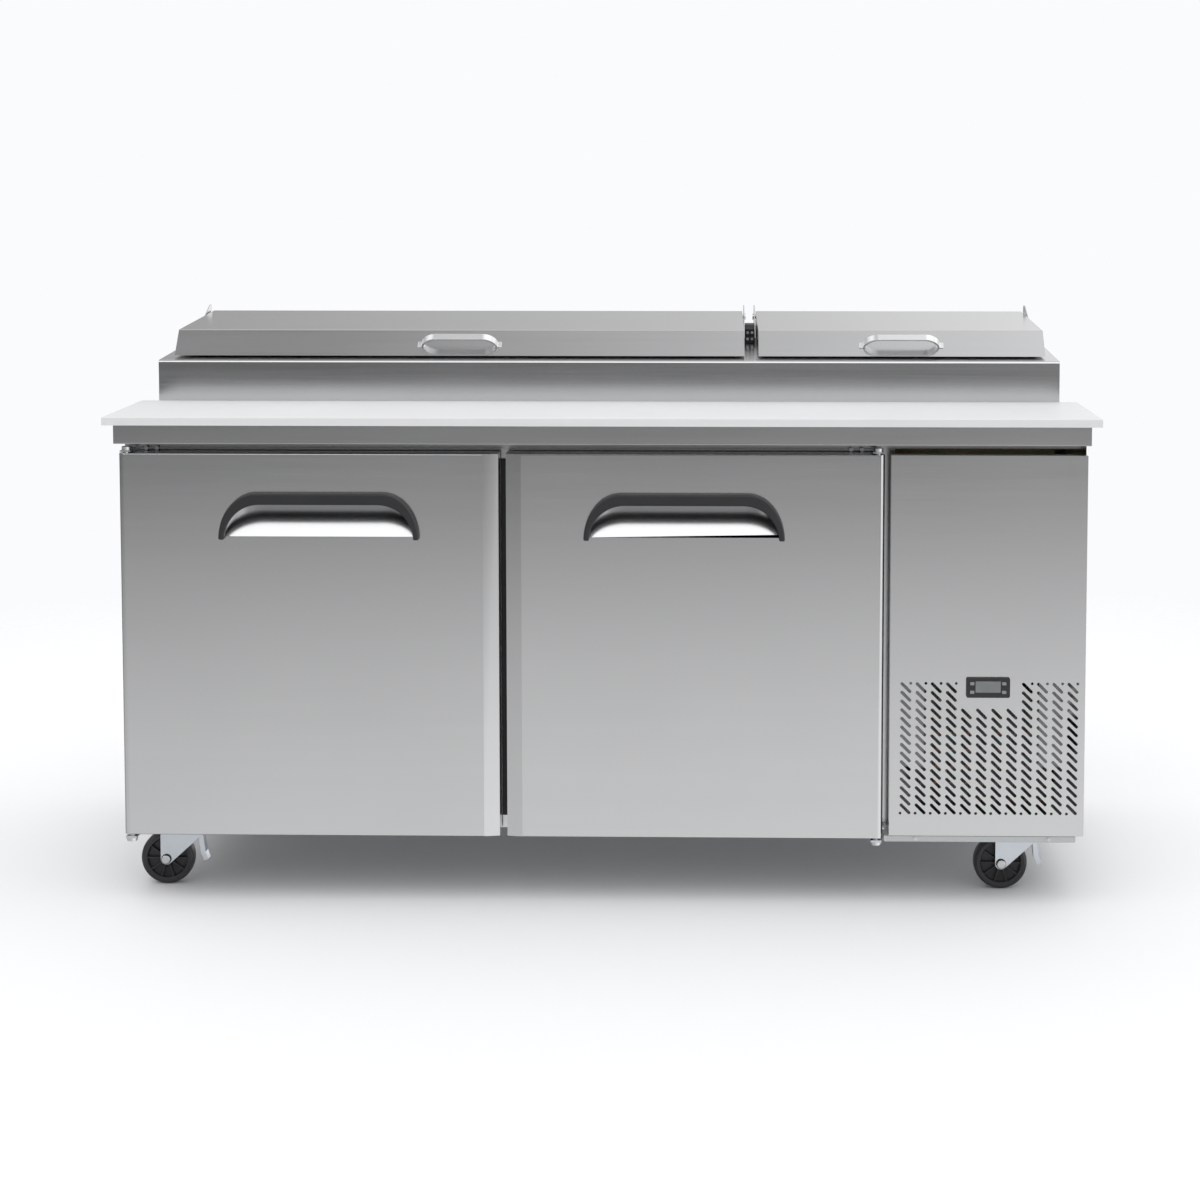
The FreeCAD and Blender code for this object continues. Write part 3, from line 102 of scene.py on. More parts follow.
class Graph:
    """A node tree under construction."""

    def __init__(self, tree):
        self.tree = tree

    def node(self, kind, settings=None, inputs=None, output=0):
        """Adds a node: its settings are set first, then the values or links of its sockets."""
        made = self.tree.nodes.new(kind)
        for key, value in (settings or {}).items():
            setattr(made, key, value)
        for key, value in (inputs or {}).items():
            if isinstance(value, Wire):
                self.tree.links.new(value.socket, made.inputs[key])
            else:
                made.inputs[key].default_value = value
        return Wire(self, made.outputs[output]) if made.outputs else None

    def span(self, value, start, end, low, high):
        """value from start to end, mapped to low to high and held at both ends."""
        return self.node("ShaderNodeMapRange", inputs={"Value": value, "From Min": start, "From Max": end,
                                                       "To Min": low, "To Max": high})

    def blend(self, share, first, second):
        """first where share is 0, second where it is 1."""
        return first * (1 - share) + second * share


class Finish(Graph):
    """A material under construction, with its Principled shader's constants set directly."""

    def __init__(self, name, **constants):
        self.material = bpy.data.materials.new(name)
        self.material.use_nodes = True
        super().__init__(self.material.node_tree)
        self.shader = self.tree.nodes["Principled BSDF"]
        for key, value in constants.items():
            self.shader.inputs[key.replace("_", " ")].default_value = value

    def place(self, scale=(1, 1, 1)):
        """Object coordinates, stretched by scale."""
        here = self.node("ShaderNodeTexCoord", output=3)
        return self.node("ShaderNodeMapping", inputs={"Vector": here, "Scale": scale})

    def noise(self, scale=(1, 1, 1), size=1.0, detail=2.0):
        """Noise from 0 to 1 with about size features to the metre."""
        return self.node("ShaderNodeTexNoise",
                         inputs={"Vector": self.place(scale), "Scale": size, "Detail": detail})

    def cells(self, size):
        """Distance to the middle of the nearest cell, with about size cells to the metre."""
        return self.node("ShaderNodeTexVoronoi", {"feature": "F1"}, {"Vector": self.place(), "Scale": size})

    def colour(self, share, low, high):
        """A colour between low and high."""
        mixed = self.node("ShaderNodeMix", {"data_type": "RGBA"},
                          {"Factor": share, 6: (*low, 1.0), 7: (*high, 1.0)}, output=2)
        self.tree.links.new(mixed.socket, self.shader.inputs["Base Color"])

    def tint(self, share, tone, darker, lighter):
        """A colour between a darker and a lighter shade of a tone."""
        self.colour(share, tuple(c * darker for c in tone), tuple(min(1.0, c * lighter) for c in tone))

    def roughness(self, wire):
        self.tree.links.new(wire.socket, self.shader.inputs["Roughness"])

    def bump(self, height, strength, distance):
        raised = self.node("ShaderNodeBump",
                           inputs={"Height": height, "Strength": strength, "Distance": distance})
        self.tree.links.new(raised.socket, self.shader.inputs["Normal"])


def brushed_steel(name, grain, tone, rough):
    """Satin stainless sheet: fine and broad streaks along grain, and faint cloudiness."""
    finish = Finish(name, Metallic=1.0)
    streaks = finish.noise(tuple(6.0 if axis == grain else 1400.0 for axis in "xyz"), 1.0, 3.0)
    broad = finish.noise(tuple(1.5 if axis == grain else 60.0 for axis in "xyz"), 1.0, 2.0)
    clouds = finish.noise(size=2.2, detail=3.0)
    finish.tint(streaks * 0.6 + broad * 0.25 + clouds * 0.15, tone, 0.94, 1.06)
    finish.roughness(streaks * 0.08 + broad * 0.04 + clouds * 0.06 + (rough - 0.09))
    finish.bump(streaks * 0.8 + broad * 0.2, 0.035, 0.0002)
    return finish.material


def mill_steel(name, tone, rough):
    """Unbrushed sheet: faintly clouded, with a trace of rolling grain."""
    finish = Finish(name, Metallic=1.0)
    clouds = finish.noise(size=9.0, detail=4.0)
    grain = finish.noise((20.0, 300.0, 300.0), 1.0, 2.0)
    finish.tint(clouds * 0.6 + grain * 0.4, tone, 0.88, 1.08)
    finish.roughness(clouds * 0.14 + grain * 0.06 + (rough - 0.1))
    finish.bump(grain, 0.06, 0.0003)
    return finish.material


def zinc_plate(name, tone, rough):
    """Bright zinc: small crystalline patches and slightly uneven gloss."""
    finish = Finish(name, Metallic=1.0)
    patches = finish.cells(160.0)
    haze = finish.noise(size=45.0, detail=4.0)
    finish.tint(patches * 0.5 + haze * 0.5, tone, 0.94, 1.05)
    finish.roughness(haze * 0.08 + patches * 0.05 + (rough - 0.06))
    finish.bump(haze, 0.02, 0.0003)
    return finish.material


def polished(name, tone, rough):
    """Polished plating with fine hairlines."""
    finish = Finish(name, Metallic=1.0)
    hairs = finish.noise((90.0, 1500.0, 1500.0), 1.0, 2.0)
    finish.tint(hairs, tone, 0.94, 1.04)
    finish.roughness(hairs * 0.08 + rough)
    return finish.material


def moulded(name, low, high, rough, grain=900.0, bite=0.12):
    """Moulded plastic or rubber: fine grain, slightly uneven tone and gloss."""
    finish = Finish(name)
    fine = finish.noise(size=grain, detail=3.0)
    broad = finish.noise(size=14.0, detail=3.0)
    finish.colour(broad * 0.7 + fine * 0.3, low, high)
    finish.roughness(fine * 0.12 + broad * 0.10 + (rough - 0.1))
    finish.bump(fine, bite, 0.0003)
    return finish.material


def board_plastic(name):
    """White cutting board: fine matt tooth, a hint of cloud and hairline knife marks."""
    finish = Finish(name)
    tooth = finish.noise(size=1100.0, detail=2.0)
    cloud = finish.noise(size=5.0, detail=3.0)
    marks = finish.noise((14.0, 700.0, 60.0), 1.0, 2.0)
    cuts = finish.span(marks, 0.68, 0.78, 0.0, 1.0)
    finish.colour(cloud * 0.7 + tooth * 0.3, (0.69, 0.70, 0.71), (0.755, 0.76, 0.765))
    finish.roughness(tooth * 0.12 + cloud * 0.06 + 0.40)
    finish.bump(tooth * 0.4 - cuts * 0.6, 0.18, 0.0003)
    return finish.material


def rigid_foam(name):
    """Yellow insulating foam with small cells."""
    finish = Finish(name)
    cells = finish.cells(420.0)
    cloud = finish.noise(size=12.0, detail=3.0)
    finish.colour(cells * 0.4 + cloud * 0.6, (0.62, 0.52, 0.28), (0.83, 0.75, 0.48))
    finish.roughness(cells * 0.1 + 0.8)
    finish.bump(cells, 0.3, 0.0008)
    return finish.material


def copper_tube(name):
    """Drawn copper with uneven stain."""
    finish = Finish(name, Metallic=1.0)
    stain = finish.noise(size=30.0, detail=4.0)
    finish.colour(stain, (0.52, 0.22, 0.12), (0.86, 0.47, 0.33))
    finish.roughness(stain * 0.25 + 0.2)
    return finish.material


def display_pane(name):
    """Dark grey unlit display under a clear cover."""
    finish = Finish(name, Coat_Roughness=0.05, Coat_Weight=1.0)
    veil = finish.noise(size=60.0, detail=2.0)
    finish.colour(veil, (0.12, 0.13, 0.135), (0.17, 0.18, 0.18))
    finish.roughness(veil * 0.1 + 0.25)
    return finish.material


SHEET_TONE = (0.60, 0.605, 0.61)
FINISHES = {
    "stainless": brushed_steel("stainless_long_grain", "x", SHEET_TONE, 0.19),
    "side_sheet": brushed_steel("stainless_side_grain", "y", SHEET_TONE, 0.19),
    "liner_steel": mill_steel("liner_sheet", (0.66, 0.67, 0.68), 0.38),
    "pan_steel": mill_steel("pan_sheet", (0.68, 0.69, 0.70), 0.28),
    "zinc_steel": zinc_plate("bright_zinc", (0.60, 0.635, 0.68), 0.24),
    "galvanised": zinc_plate("galvanised_sheet", (0.66, 0.68, 0.69), 0.45),
    "bright_steel": polished("polished_steel", (0.74, 0.745, 0.75), 0.30),
    "black_paint": moulded("black_enamel", (0.010, 0.010, 0.011), (0.022, 0.022, 0.024), 0.35, 300.0, 0.05),
    "fin_aluminium": mill_steel("fin_stock", (0.72, 0.73, 0.74), 0.35),
    "fan_aluminium": mill_steel("fan_stock", (0.62, 0.63, 0.64), 0.40),
    "copper": copper_tube("drawn_copper"),
    "foam": rigid_foam("rigid_foam"),
    "white_inner": moulded("white_liner", (0.70, 0.705, 0.70), (0.80, 0.80, 0.79), 0.45, 500.0),
    "white_board": board_plastic("cutting_board_white"),
    "black_plastic": moulded("black_grained", (0.012, 0.0125, 0.0135), (0.024, 0.025, 0.027), 0.42,
                             1300.0, 0.2),
    "black_gloss": moulded("black_gloss", (0.010, 0.010, 0.011), (0.020, 0.020, 0.022), 0.20, 300.0, 0.03),
    "button_plastic": moulded("button_grey", (0.20, 0.205, 0.21), (0.28, 0.285, 0.29), 0.35),
    "fan_plastic": moulded("fan_black", (0.018, 0.018, 0.02), (0.034, 0.034, 0.036), 0.45),
    "white_wire": moulded("white_coating", (0.76, 0.765, 0.76), (0.86, 0.86, 0.85), 0.30, 400.0, 0.06),
    "gasket_rubber": moulded("grey_gasket", (0.24, 0.245, 0.25), (0.33, 0.335, 0.34), 0.60),
    "wheel_plastic": moulded("wheel_black", (0.020, 0.020, 0.022), (0.042, 0.042, 0.046), 0.42, 1000.0, 0.2),
    "display_window": display_pane("display_pane"),
}
SIDE_SHEETS = ("machine_cover", "cabinet_shell")


# ---- mesh helpers -------------------------------------------------------------------------------
CREASE = math.radians(32.0)                 # edges that bend more than this are sharp
FLAT = math.radians(0.7)                    # faces that bend less than this are one
MERGE_DISTANCE = 2e-6
SHEET = 1.0 * MM
FOLD_REACH, FOLD_LENGTH = 1.8 * MM, 5 * MM  # how near a fold's line its edges lie, and how long they are
FOLD_ANGLE = math.radians(20)


def finish_of(node):
    """The finish of a CAD node, by its material slot."""
    return FINISHES["side_sheet" if node in SIDE_SHEETS else SLOT_OF[node]]


def add_piece(name, bm, body, slot, finish, replaced=(), edge=0.0, rounds=2):
    """Turns a bmesh into a piece that rides on a body. edge rounds its sharp edges by that many metres,
    in as many steps as rounds says."""
    mesh = bpy.data.meshes.new(name)
    bm.to_mesh(mesh)
    bm.free()
    mesh.materials.append(finish)
    mesh.shade_smooth()
    mesh.set_sharp_from_angle(angle=CREASE)
    obj = bpy.data.objects.new(name, mesh)
    bpy.context.scene.collection.objects.link(obj)
    if edge:
        bevel = obj.modifiers.new("rounded_edges", "BEVEL")
        bevel.width = edge
        bevel.segments = rounds
        bevel.limit_method = "ANGLE"
        bevel.angle_limit = CREASE
        bevel.use_clamp_overlap = True
        shading = obj.modifiers.new("flat_faces", "WEIGHTED_NORMAL")
        shading.keep_sharp = True
        shading.weight = 90
    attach(obj, body)
    if replaced:
        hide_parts(*replaced)


def stand_in(node, name, bm, edge=0.0, rounds=2):
    """Makes a bmesh the piece that stands for a CAD node."""
    add_piece(name, bm, BODY_OF[node], SLOT_OF[node], finish_of(node), (node,), edge, rounds)


def merged_copy(node):
    """A bmesh of a CAD node's mesh, with its vertices merged and its flat faces joined."""
    bm = bmesh.new()
    bm.from_mesh(NODES[node].data)
    bmesh.ops.remove_doubles(bm, verts=bm.verts, dist=MERGE_DISTANCE)
    bmesh.ops.dissolve_limit(bm, angle_limit=FLAT, verts=bm.verts, edges=bm.edges)
    return bm


def refine(node, edge):
    """Replaces a CAD node by the same shape with rounded edges."""
    stand_in(node, f"{node}_fine", merged_copy(node), edge)


def round_fold(bm, y, z, radius):
    """Rounds a fold along X at (y, z): the outer corner by radius, the inner one by a sheet less."""
    for convex, size in ((False, radius - SHEET), (True, radius)):
        near = [edge for edge in bm.edges
                if len(edge.link_faces) == 2 and edge.is_convex == convex
                and abs(edge.verts[0].co.x - edge.verts[1].co.x) > FOLD_LENGTH
                and all(math.hypot(vert.co.y - y, vert.co.z - z) < FOLD_REACH for vert in edge.verts)
                and edge.calc_face_angle() > FOLD_ANGLE]
        if near and size > 0:
            bmesh.ops.bevel(bm, geom=near, offset=size, offset_type="OFFSET", segments=4, profile=0.5,
                            affect="EDGES", material=-1, clamp_overlap=False)


def islands(bm):
    """Groups of vertices that hang together, in the mesh's own order."""
    for vert in bm.verts:
        vert.tag = False
    for start in bm.verts:
        if start.tag:
            continue
        start.tag = True
        group = [start]
        for vert in group:
            for edge in vert.link_edges:
                other = edge.other_vert(vert)
                if not other.tag:
                    other.tag = True
                    group.append(other)
        yield group


def add_block(bm, low, high):
    """A cuboid between two corners."""
    low, high = Vector(low), Vector(high)
    size = high - low
    matrix = Matrix.Translation((low + high) / 2) @ Matrix.Diagonal((*size, 1.0))
    return bmesh.ops.create_cube(bm, size=1.0, matrix=matrix)["verts"]


# ---- pieces -------------------------------------------------------------------------------------
# How far each node's sharp edges are rounded, in millimetres.
ROUNDED = {
    "cutting_board": 0.0, "door_frame": 0.8, "mullion_strip": 0.8, "grille_panel": 0.2,
    "lid_left_core": 1.0, "lid_right_core": 1.0, "insulation": 0.0, "cabinet_liner": 0.0, "pan_wells": 0.3,
    "evaporator_cover": 0.5, "refrigerant_pipes": 0.0, "shelf_clips": 0.8, "shelf_left": 0.0,
    "shelf_right": 0.0, "controller_window": 0.15,
    "lid_left_handle": 0.8, "lid_right_handle": 0.8, "door_left_handle": 2.5, "door_right_handle": 2.5,
    "lid_hinge_ears": 0.4, "lid_centre_block": 1.5, "door_hinge_brackets": 0.5, "machine_cover": 0.3,
    "machine_base_tray": 0.4, "cabinet_shell": 0.3, "controller_body": 0.5, "compressor": 1.0,
    "controller_button_up": 0.4, "controller_button_down": 0.4, "controller_button_set": 0.4,
    "controller_button_power": 0.4, "condenser_fan_mount": 0.4, "condenser_fan_blade": 0.3,
    "evaporator_fan_blade": 0.3, "caster_plates": 0.8, "cord_gland": 0.8, "food_pans": 0.0,
    "door_left_inner_panel": 3.0, "door_right_inner_panel": 3.0,
}
for corner in ("fl", "fr"):
    ROUNDED[f"caster_{corner}_brake"] = 0.9


def refine_sheets():
    """Nodes whose CAD shape only needs softer edges."""
    for node, edge in ROUNDED.items():
        refine(node, edge * MM)


RIM_SLOPE = math.radians(2.7)
REAR_UPSTAND = 18.0 * MM
LID_FOLD = (88.0 * MM, 50.0 * MM)           # the lids' crease, back from the rail's front and above its rim
SHEET_EDGE = 0.35 * MM


def folded_sheets():
    """Deck, rail, lid covers and door skins, with their main folds rounded as pressed sheet."""
    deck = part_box("worktop_deck")[0]
    rail_low, rail_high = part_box("riser_shell")
    rim = rail_high.z - REAR_UPSTAND - (rail_high.y - rail_low.y) * math.tan(RIM_SLOPE)
    back, up = LID_FOLD
    crease = (rail_low.y + back * math.cos(RIM_SLOPE) - up * math.sin(RIM_SLOPE),
              rim + back * math.sin(RIM_SLOPE) + up * math.cos(RIM_SLOPE))
    folds = {"worktop_deck": [(deck.y, deck.z, 2.0)], "riser_shell": [(rail_low.y, rim, 4.0)]}
    for side in ("left", "right"):
        low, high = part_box(f"door_{side}_skin")
        folds[f"door_{side}_skin"] = [(low.y, low.z, 1.6), (low.y, high.z, 1.6)]
        folds[f"lid_{side}_shell"] = [(*crease, 2.5)]
    for node, places in folds.items():
        bm = merged_copy(node)
        for y, z, radius in places:
            round_fold(bm, y, z, radius * MM)
        stand_in(node, f"{node}_folded", bm, SHEET_EDGE)


def join(bm, other):
    """Adds another bmesh to this one and frees it."""
    mesh = bpy.data.meshes.new("joined")
    other.to_mesh(mesh)
    other.free()
    bm.from_mesh(mesh)
    bpy.data.meshes.remove(mesh)


SCREW_SPAN = 14.0 * MM                      # anything smaller in the screws' node is a screw head
HEAD_RISE, SOCKET_SIZE, SOCKET_DEPTH = 0.62, 0.46, 0.35     # shares of a head's radius


def button_head(base, outward, radius):
    """A domed screw head with a six-sided socket, its flat side at base."""
    rise, socket, deep = radius * HEAD_RISE, radius * SOCKET_SIZE, radius * SOCKET_DEPTH
    top = math.acos(socket / radius)
    bm = bmesh.new()
    verts = [bm.verts.new((radius * math.cos(top * k / 5), 0, rise * math.sin(top * k / 5)))
             for k in range(6)]
    edges = [bm.edges.new(pair) for pair in zip(verts, verts[1:])]
    bmesh.ops.spin(bm, geom=verts + edges, cent=(0, 0, 0), axis=(0, 0, 1), angle=math.tau, steps=24,
                   use_merge=True)
    rim = [edge for edge in bm.edges if edge.is_boundary and edge.verts[0].co.z > rise / 2]
    for vert in {vert: None for edge in rim for vert in edge.verts}:
        turn = math.atan2(vert.co.y, vert.co.x) % (math.pi / 3) - math.pi / 6
        vert.co.xy = vert.co.xy * (math.cos(math.pi / 6) / math.cos(turn))
    sunk = bmesh.ops.extrude_edge_only(bm, edges=rim)["geom"]
    bmesh.ops.translate(bm, verts=[item for item in sunk if isinstance(item, bmesh.types.BMVert)],
                        vec=(0, 0, -deep))
    bmesh.ops.holes_fill(bm, edges=[edge for edge in bm.edges if edge.is_boundary], sides=24)
    bmesh.ops.recalc_face_normals(bm, faces=bm.faces)
    turned = Vector((0, 0, 1)).rotation_difference(outward).to_matrix().to_4x4()
    bmesh.ops.transform(bm, matrix=Matrix.Translation(base) @ turned, verts=bm.verts)
    return bm


def pins_and_screws():
    """Hinge pins, and every small screw head as a button head with a socket."""
    node = "hinge_pins_and_screws"
    bm = merged_copy(node)
    heads, plain = [], []
    for group in islands(bm):
        low = Vector([min(vert.co[k] for vert in group) for k in range(3)])
        high = Vector([max(vert.co[k] for vert in group) for k in range(3)])
        size = high - low
        if size.length > SCREW_SPAN:
            continue
        axis = min(range(3), key=lambda k: size[k])
        margin = 0.15 * size[axis]
        below = sum(vert.co[axis] < low[axis] + margin for vert in group)
        above = sum(vert.co[axis] > high[axis] - margin for vert in group)
        base, outward = (low + high) / 2, Vector()
        base[axis] = (low if below > above else high)[axis]
        outward[axis] = 1.0 if below > above else -1.0
        heads.append((base, outward, max(size) / 2))
        plain.extend(group)
    bmesh.ops.delete(bm, geom=plain, context="VERTS")
    for head in heads:
        join(bm, button_head(*head))
    stand_in(node, "pins_and_screws", bm, 0.25 * MM)


WHEEL_RIBS = 10
RIB_HALF = 0.0014
HUB_HALF, TREAD_HALF, WEB_HALF = 0.018, 0.016, 0.007        # half widths along the axle
BORE_R, HUB_R, WEB_R, RIM_R = 0.0051, 0.0125, 0.0365, 0.0450


def caster_wheel(corner):
    """Wheel with a crowned tread, a dished web with ribs, and a hub."""
    node = f"caster_{corner}_wheel"
    low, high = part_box(node)
    middle, radius = (low + high) / 2, (high.z - low.z) / 2
    shape = [(BORE_R, HUB_HALF), (HUB_R, HUB_HALF), (0.0135, WEB_HALF), (WEB_R, WEB_HALF),
             (0.0385, TREAD_HALF - 0.001), (RIM_R, TREAD_HALF),
             (radius - 0.0012, TREAD_HALF - 0.003), (radius - 0.0002, TREAD_HALF - 0.009)]
    profile = shape + [(radius, 0.0)] + [(r, -y) for r, y in reversed(shape)]
    bm = bmesh.new()
    verts = [bm.verts.new((r, y, 0)) for r, y in profile]
    edges = [bm.edges.new(pair) for pair in zip(verts, verts[1:] + verts[:1])]
    bmesh.ops.spin(bm, geom=verts + edges, cent=(0, 0, 0), axis=(0, 1, 0), angle=math.tau, steps=72,
                   use_merge=True)
    for side in (-1, 1):
        for k in range(WHEEL_RIBS):
            rib = add_block(bm, (0.012, side * 0.0068 - 0.0001, -RIB_HALF),
                            (0.0378, side * 0.0145, RIB_HALF))
            turn = Matrix.Rotation(k * math.tau / WHEEL_RIBS, 3, "Y")
            bmesh.ops.rotate(bm, verts=rib, cent=(0, 0, 0), matrix=turn)
    bmesh.ops.translate(bm, verts=bm.verts, vec=middle)
    bmesh.ops.recalc_face_normals(bm, faces=bm.faces)
    stand_in(node, f"wheel_{corner}", bm, 0.0005)


# Slot, radius, front and back from the bolt head's face, and rounding, the last four in millimetres.
# The black ring is painted shadow: a dark ring put where the gap round the axle bolt's head lies in shade.
AXLE_PIECES = {"cap": ("bright_steel", 8.2, -0.1, 3.6, 1.2), "shadow_ring": ("black_plastic", 9.3, 3.4, 4.1, 0.2)}


def caster_fork(corner):
    """Fork, with a bright cap over the head of its axle bolt and a thin black ring behind it: painted
    shadow, a dark ring standing for the shade in the gap round the bolt head.
    """
    node = f"caster_{corner}_fork"
    refine(node, 0.8 * MM)
    low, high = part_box(f"caster_{corner}_wheel")
    axle = (low + high) / 2
    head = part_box(node)[0].y
    for name, (slot, radius, front, back, edge) in AXLE_PIECES.items():
        bm = bmesh.new()
        turn = Matrix.Rotation(math.pi / 2, 4, "X")
        middle = Matrix.Translation((axle.x, head + (front + back) / 2 * MM, axle.z))
        bmesh.ops.create_cone(bm, cap_ends=True, segments=48, radius1=radius * MM, radius2=radius * MM,
                              depth=(back - front) * MM, matrix=middle @ turn)
        add_piece(f"axle_{name}_{corner}", bm, BODY_OF[node], slot, FINISHES[slot], edge=edge * MM, rounds=3)


FIN_THICKNESS = 0.0006
TUBE_RADIUS, TUBE_PITCH, TUBE_INSET = 0.0048, 0.032, 0.0005
CONDENSER_PITCH, EVAPORATOR_PITCH = 0.004, 0.005


def finned_block(node, along, pitch):
    """Thin fins stacked along the axis numbered along."""
    low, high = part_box(node)
    bm = bmesh.new()
    count = int((high[along] - low[along]) / pitch)
    for k in range(count):
        a, b = low.copy(), high.copy()
        a[along] = low[along] + pitch * k
        b[along] = a[along] + FIN_THICKNESS
        add_block(bm, a, b)
    stand_in(node, f"{node}_fins", bm)


def coil_tubes(node, along, name):
    """Straight rows of copper tube through the fins."""
    low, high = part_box(node)
    bm = bmesh.new()
    deep = 1 if along == 0 else 0
    rows = int((high.z - low.z) / TUBE_PITCH)
    middle = (low[deep] + high[deep]) / 2
    for k in range(rows):
        z = low.z + TUBE_PITCH / 2 + TUBE_PITCH * k
        ends = (low[along] + TUBE_INSET, high[along] - TUBE_INSET)
        axis = "Y" if along == 0 else "X"
        spot = Vector((0, 0, z))
        spot[along], spot[deep] = sum(ends) / 2, middle
        matrix = Matrix.Translation(spot) @ Matrix.Rotation(math.pi / 2, 4, axis)
        bmesh.ops.create_cone(bm, cap_ends=True, segments=16, radius1=TUBE_RADIUS, radius2=TUBE_RADIUS,
                              depth=ends[1] - ends[0], matrix=matrix)
    add_piece(name, bm, BODY_OF[node], "copper", FINISHES["copper"])


GASKET_FOOT = 0.004
BASE_WIDTH, BULB_WIDTH, BULB_INSET = 0.016, 0.011, 0.002


def gasket(side):
    """Magnetic door gasket: a flat base and a softened square bulb, mitred at the corners."""
    node = f"door_{side}_gasket"
    low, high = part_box(node)
    bm = bmesh.new()
    foot = low.y + GASKET_FOOT
    for inset, width, near, far in ((0.0, BASE_WIDTH, low.y, foot), (BULB_INSET, BULB_WIDTH, foot, high.y)):
        corners = [(low.x + inset, low.z + inset), (high.x - inset, low.z + inset),
                   (high.x - inset, high.z - inset), (low.x + inset, high.z - inset)]
        face = bm.faces.new([bm.verts.new((x, near, z)) for x, z in corners])
        face.normal_update()
        ring = bmesh.ops.inset_region(bm, faces=[face], thickness=width, use_even_offset=True,
                                      use_boundary=True)["faces"]
        bmesh.ops.delete(bm, geom=[face], context="FACES_ONLY")
        grown = bmesh.ops.extrude_face_region(bm, geom=ring, use_keep_orig=True)["geom"]
        moved = [v for v in grown if isinstance(v, bmesh.types.BMVert)]
        bmesh.ops.translate(bm, verts=moved, vec=(0, far - near, 0))
    bmesh.ops.recalc_face_normals(bm, faces=bm.faces)
    stand_in(node, f"gasket_{side}", bm, 0.0022, rounds=3)


def paint_frame():
    """Gives every CAD node that still shows its finish."""
    for node, obj in NODES.items():
        obj.data.materials.clear()
        obj.data.materials.append(finish_of(node))


# ---- setting ------------------------------------------------------------------------------------
CAMERA_PLACE = (0.208, -4.98, 1.382)
CAMERA_TILT, CAMERA_TURN = 4.54, 1.23       # degrees down and to the left
CAMERA_LENS = 75.6
LENS_SHIFT = (-0.05, -0.20)
FLOOR_R, FLOOR_SOLID = 3.4, 0.55            # the disc's radius, and the share of it that doesn't fade
FLOOR_DROP = 0.0002
FLOOR_SHADES = ((0.885, 0.892, 0.905), (0.895, 0.902, 0.915))
PATCH_TOP, PATCH_FOOT = -0.001, -0.002
PAPER_WHITE = (0.955, 0.965, 0.985, 1.0)
NEUTRAL = (1.0, 1.0, 1.0, 1.0)


def set_camera():
    """Camera in front of the table, a little above its worktop, with a shifted lens."""
    data = bpy.data.cameras.new("camera")
    data.sensor_width = 36.0
    data.lens = CAMERA_LENS
    data.shift_x, data.shift_y = LENS_SHIFT
    camera = bpy.data.objects.new("camera", data)
    camera.location = CAMERA_PLACE
    camera.rotation_euler = (math.radians(90.0 - CAMERA_TILT), 0.0, math.radians(CAMERA_TURN))
    bpy.context.scene.collection.objects.link(camera)
    bpy.context.scene.camera = camera


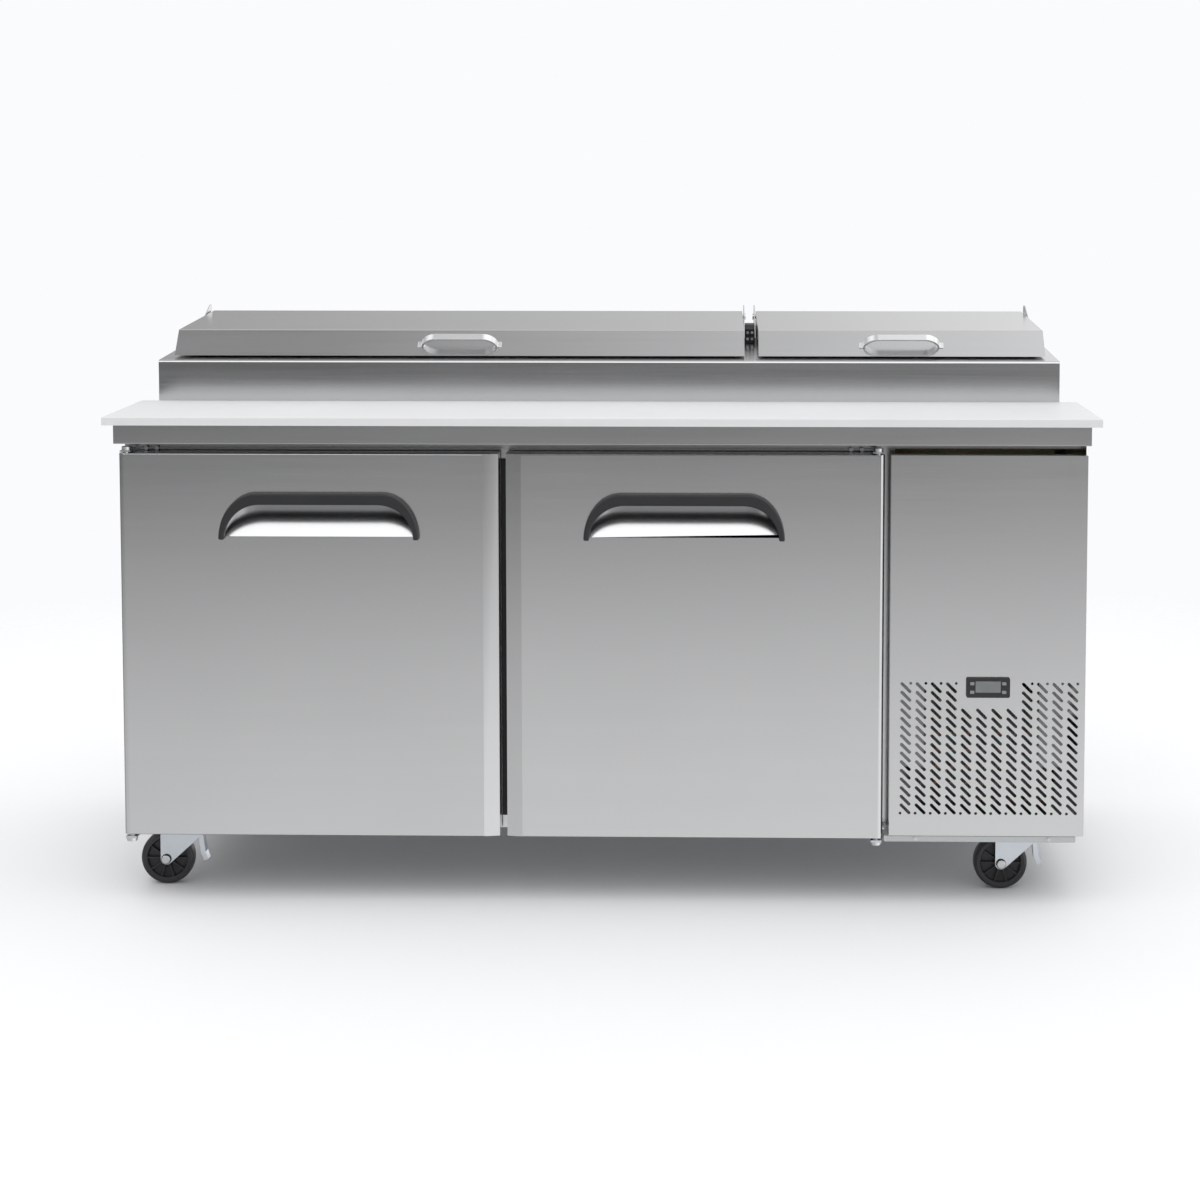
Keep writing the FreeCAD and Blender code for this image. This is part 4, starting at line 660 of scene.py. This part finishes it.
def set_world():
    """Plain white to the camera, soft light from above on matt surfaces, and a graded studio for glossy
    ones to mirror: dim round the horizon in front, brighter behind and to the right, and the other way
    round overhead and underfoot, dimmer behind. x, y and z are the parts of a direction, to the right,
    back and up, and each span sets the levels between two values of one of them."""
    world = bpy.data.worlds.new("studio")
    bpy.context.scene.world = world
    world.use_nodes = True
    sky = Graph(world.node_tree)
    sky.tree.nodes.clear()
    where = sky.node("ShaderNodeTexCoord")
    x, y, z = [sky.node("ShaderNodeSeparateXYZ", inputs={0: where}, output=k) for k in range(3)]
    side = sky.span(x, -0.5, 0.0, 0.45, 1.0) + sky.span(x, 0.0, 0.35, 0.0, 0.6)
    behind = sky.span(y, -0.2, 0.4, 1.0, 0.5)
    horizon = sky.span(y, -0.3, 0.4, 0.07, 0.60) * side ** 2.0 + sky.span(x, 0.36, 0.70, 0.0, 1.0)
    underfoot = (side * 0.34 + 0.68) * sky.span(z, -0.6, -0.36, 0.55, 1.0) * behind
    upper = sky.span(x, -0.6, 0.6, 1.6, 1.9) * behind
    zenith = sky.span(x, -0.28, 0.35, 0.0, 1.45)
    overhead = sky.blend(sky.span(z, 0.85, 0.97, 0.0, 1.0), upper, zenith)
    lifted = sky.blend(sky.span(z, 0.15, 0.5, 0.0, 1.0), horizon, overhead)
    mirrored = sky.blend(sky.span(z, -0.22, -0.09, 1.0, 0.0), lifted, underfoot)
    matt = sky.span(z, 0.2, 0.9, 0.22, 1.52) + sky.span(y, -1.0, -0.2, 0.65, 0.0)
    to_camera, to_gloss = [sky.node("ShaderNodeLightPath", output=k)
                           for k in ("Is Camera Ray", "Is Glossy Ray")]
    plain = sky.node("ShaderNodeBackground", inputs={"Color": PAPER_WHITE, "Strength": 1.0})
    even = sky.node("ShaderNodeBackground", inputs={"Color": NEUTRAL, "Strength": matt})
    graded = sky.node("ShaderNodeBackground", inputs={"Color": NEUTRAL, "Strength": mirrored})
    lit = sky.node("ShaderNodeMixShader", inputs={0: to_gloss, 1: even, 2: graded})
    seen = sky.node("ShaderNodeMixShader", inputs={0: to_camera, 1: lit, 2: plain})
    sky.node("ShaderNodeOutputWorld", inputs={"Surface": seen})


def add_ground(name, bm, drop, finish):
    """Adds a bmesh to the setting, drop metres below the table's foot."""
    mesh = bpy.data.meshes.new(name)
    bm.to_mesh(mesh)
    bm.free()
    mesh.materials.append(finish.material)
    ground = bpy.data.objects.new(name, mesh)
    ground.location.z = CAD_BOX[0].z - drop
    bpy.context.scene.collection.objects.link(ground)
    return ground


def set_floor():
    """A plain pale disc under the table that fades out at its rim. Glossy surfaces mirror the studio
    instead of it. A patch under the table blocks the glossy rays that come up from below there."""
    finish = Finish("studio_floor", Roughness=0.9)
    cloud = finish.noise(size=0.6, detail=2.0)
    finish.colour(cloud, *FLOOR_SHADES)
    away = finish.node("ShaderNodeVectorMath", {"operation": "LENGTH"}, {0: finish.place()}, output=1)
    faded = finish.span(away, FLOOR_R * FLOOR_SOLID, FLOOR_R, 1.0, 0.0)
    finish.tree.links.new(faded.socket, finish.shader.inputs["Alpha"])
    disc = bmesh.new()
    bmesh.ops.create_circle(disc, cap_ends=True, segments=96, radius=FLOOR_R)
    floor = add_ground("floor", disc, FLOOR_DROP, finish)
    floor.visible_glossy = False
    shade = bmesh.new()
    low, high = CAD_BOX
    add_block(shade, (low.x, low.y, PATCH_FOOT), (high.x, high.y, PATCH_TOP))
    patch = add_ground("shadow_patch", shade, 0.0, finish)
    patch.visible_camera = False
    patch.visible_diffuse = False


def main():
    """Builds the pieces, then the camera, light and floor."""
    bpy.context.scene.view_settings.view_transform = "Standard"
    paint_frame()
    refine_sheets()
    folded_sheets()
    pins_and_screws()
    for corner in ("fl", "fr", "rl", "rr"):
        caster_wheel(corner)
        caster_fork(corner)
    finned_block("condenser_coil", 0, CONDENSER_PITCH)
    coil_tubes("condenser_coil", 0, "condenser_tubes")
    finned_block("evaporator_coil", 1, EVAPORATOR_PITCH)
    coil_tubes("evaporator_coil", 1, "evaporator_tubes")
    for side in ("left", "right"):
        gasket(side)
    set_camera()
    set_world()
    set_floor()


main()
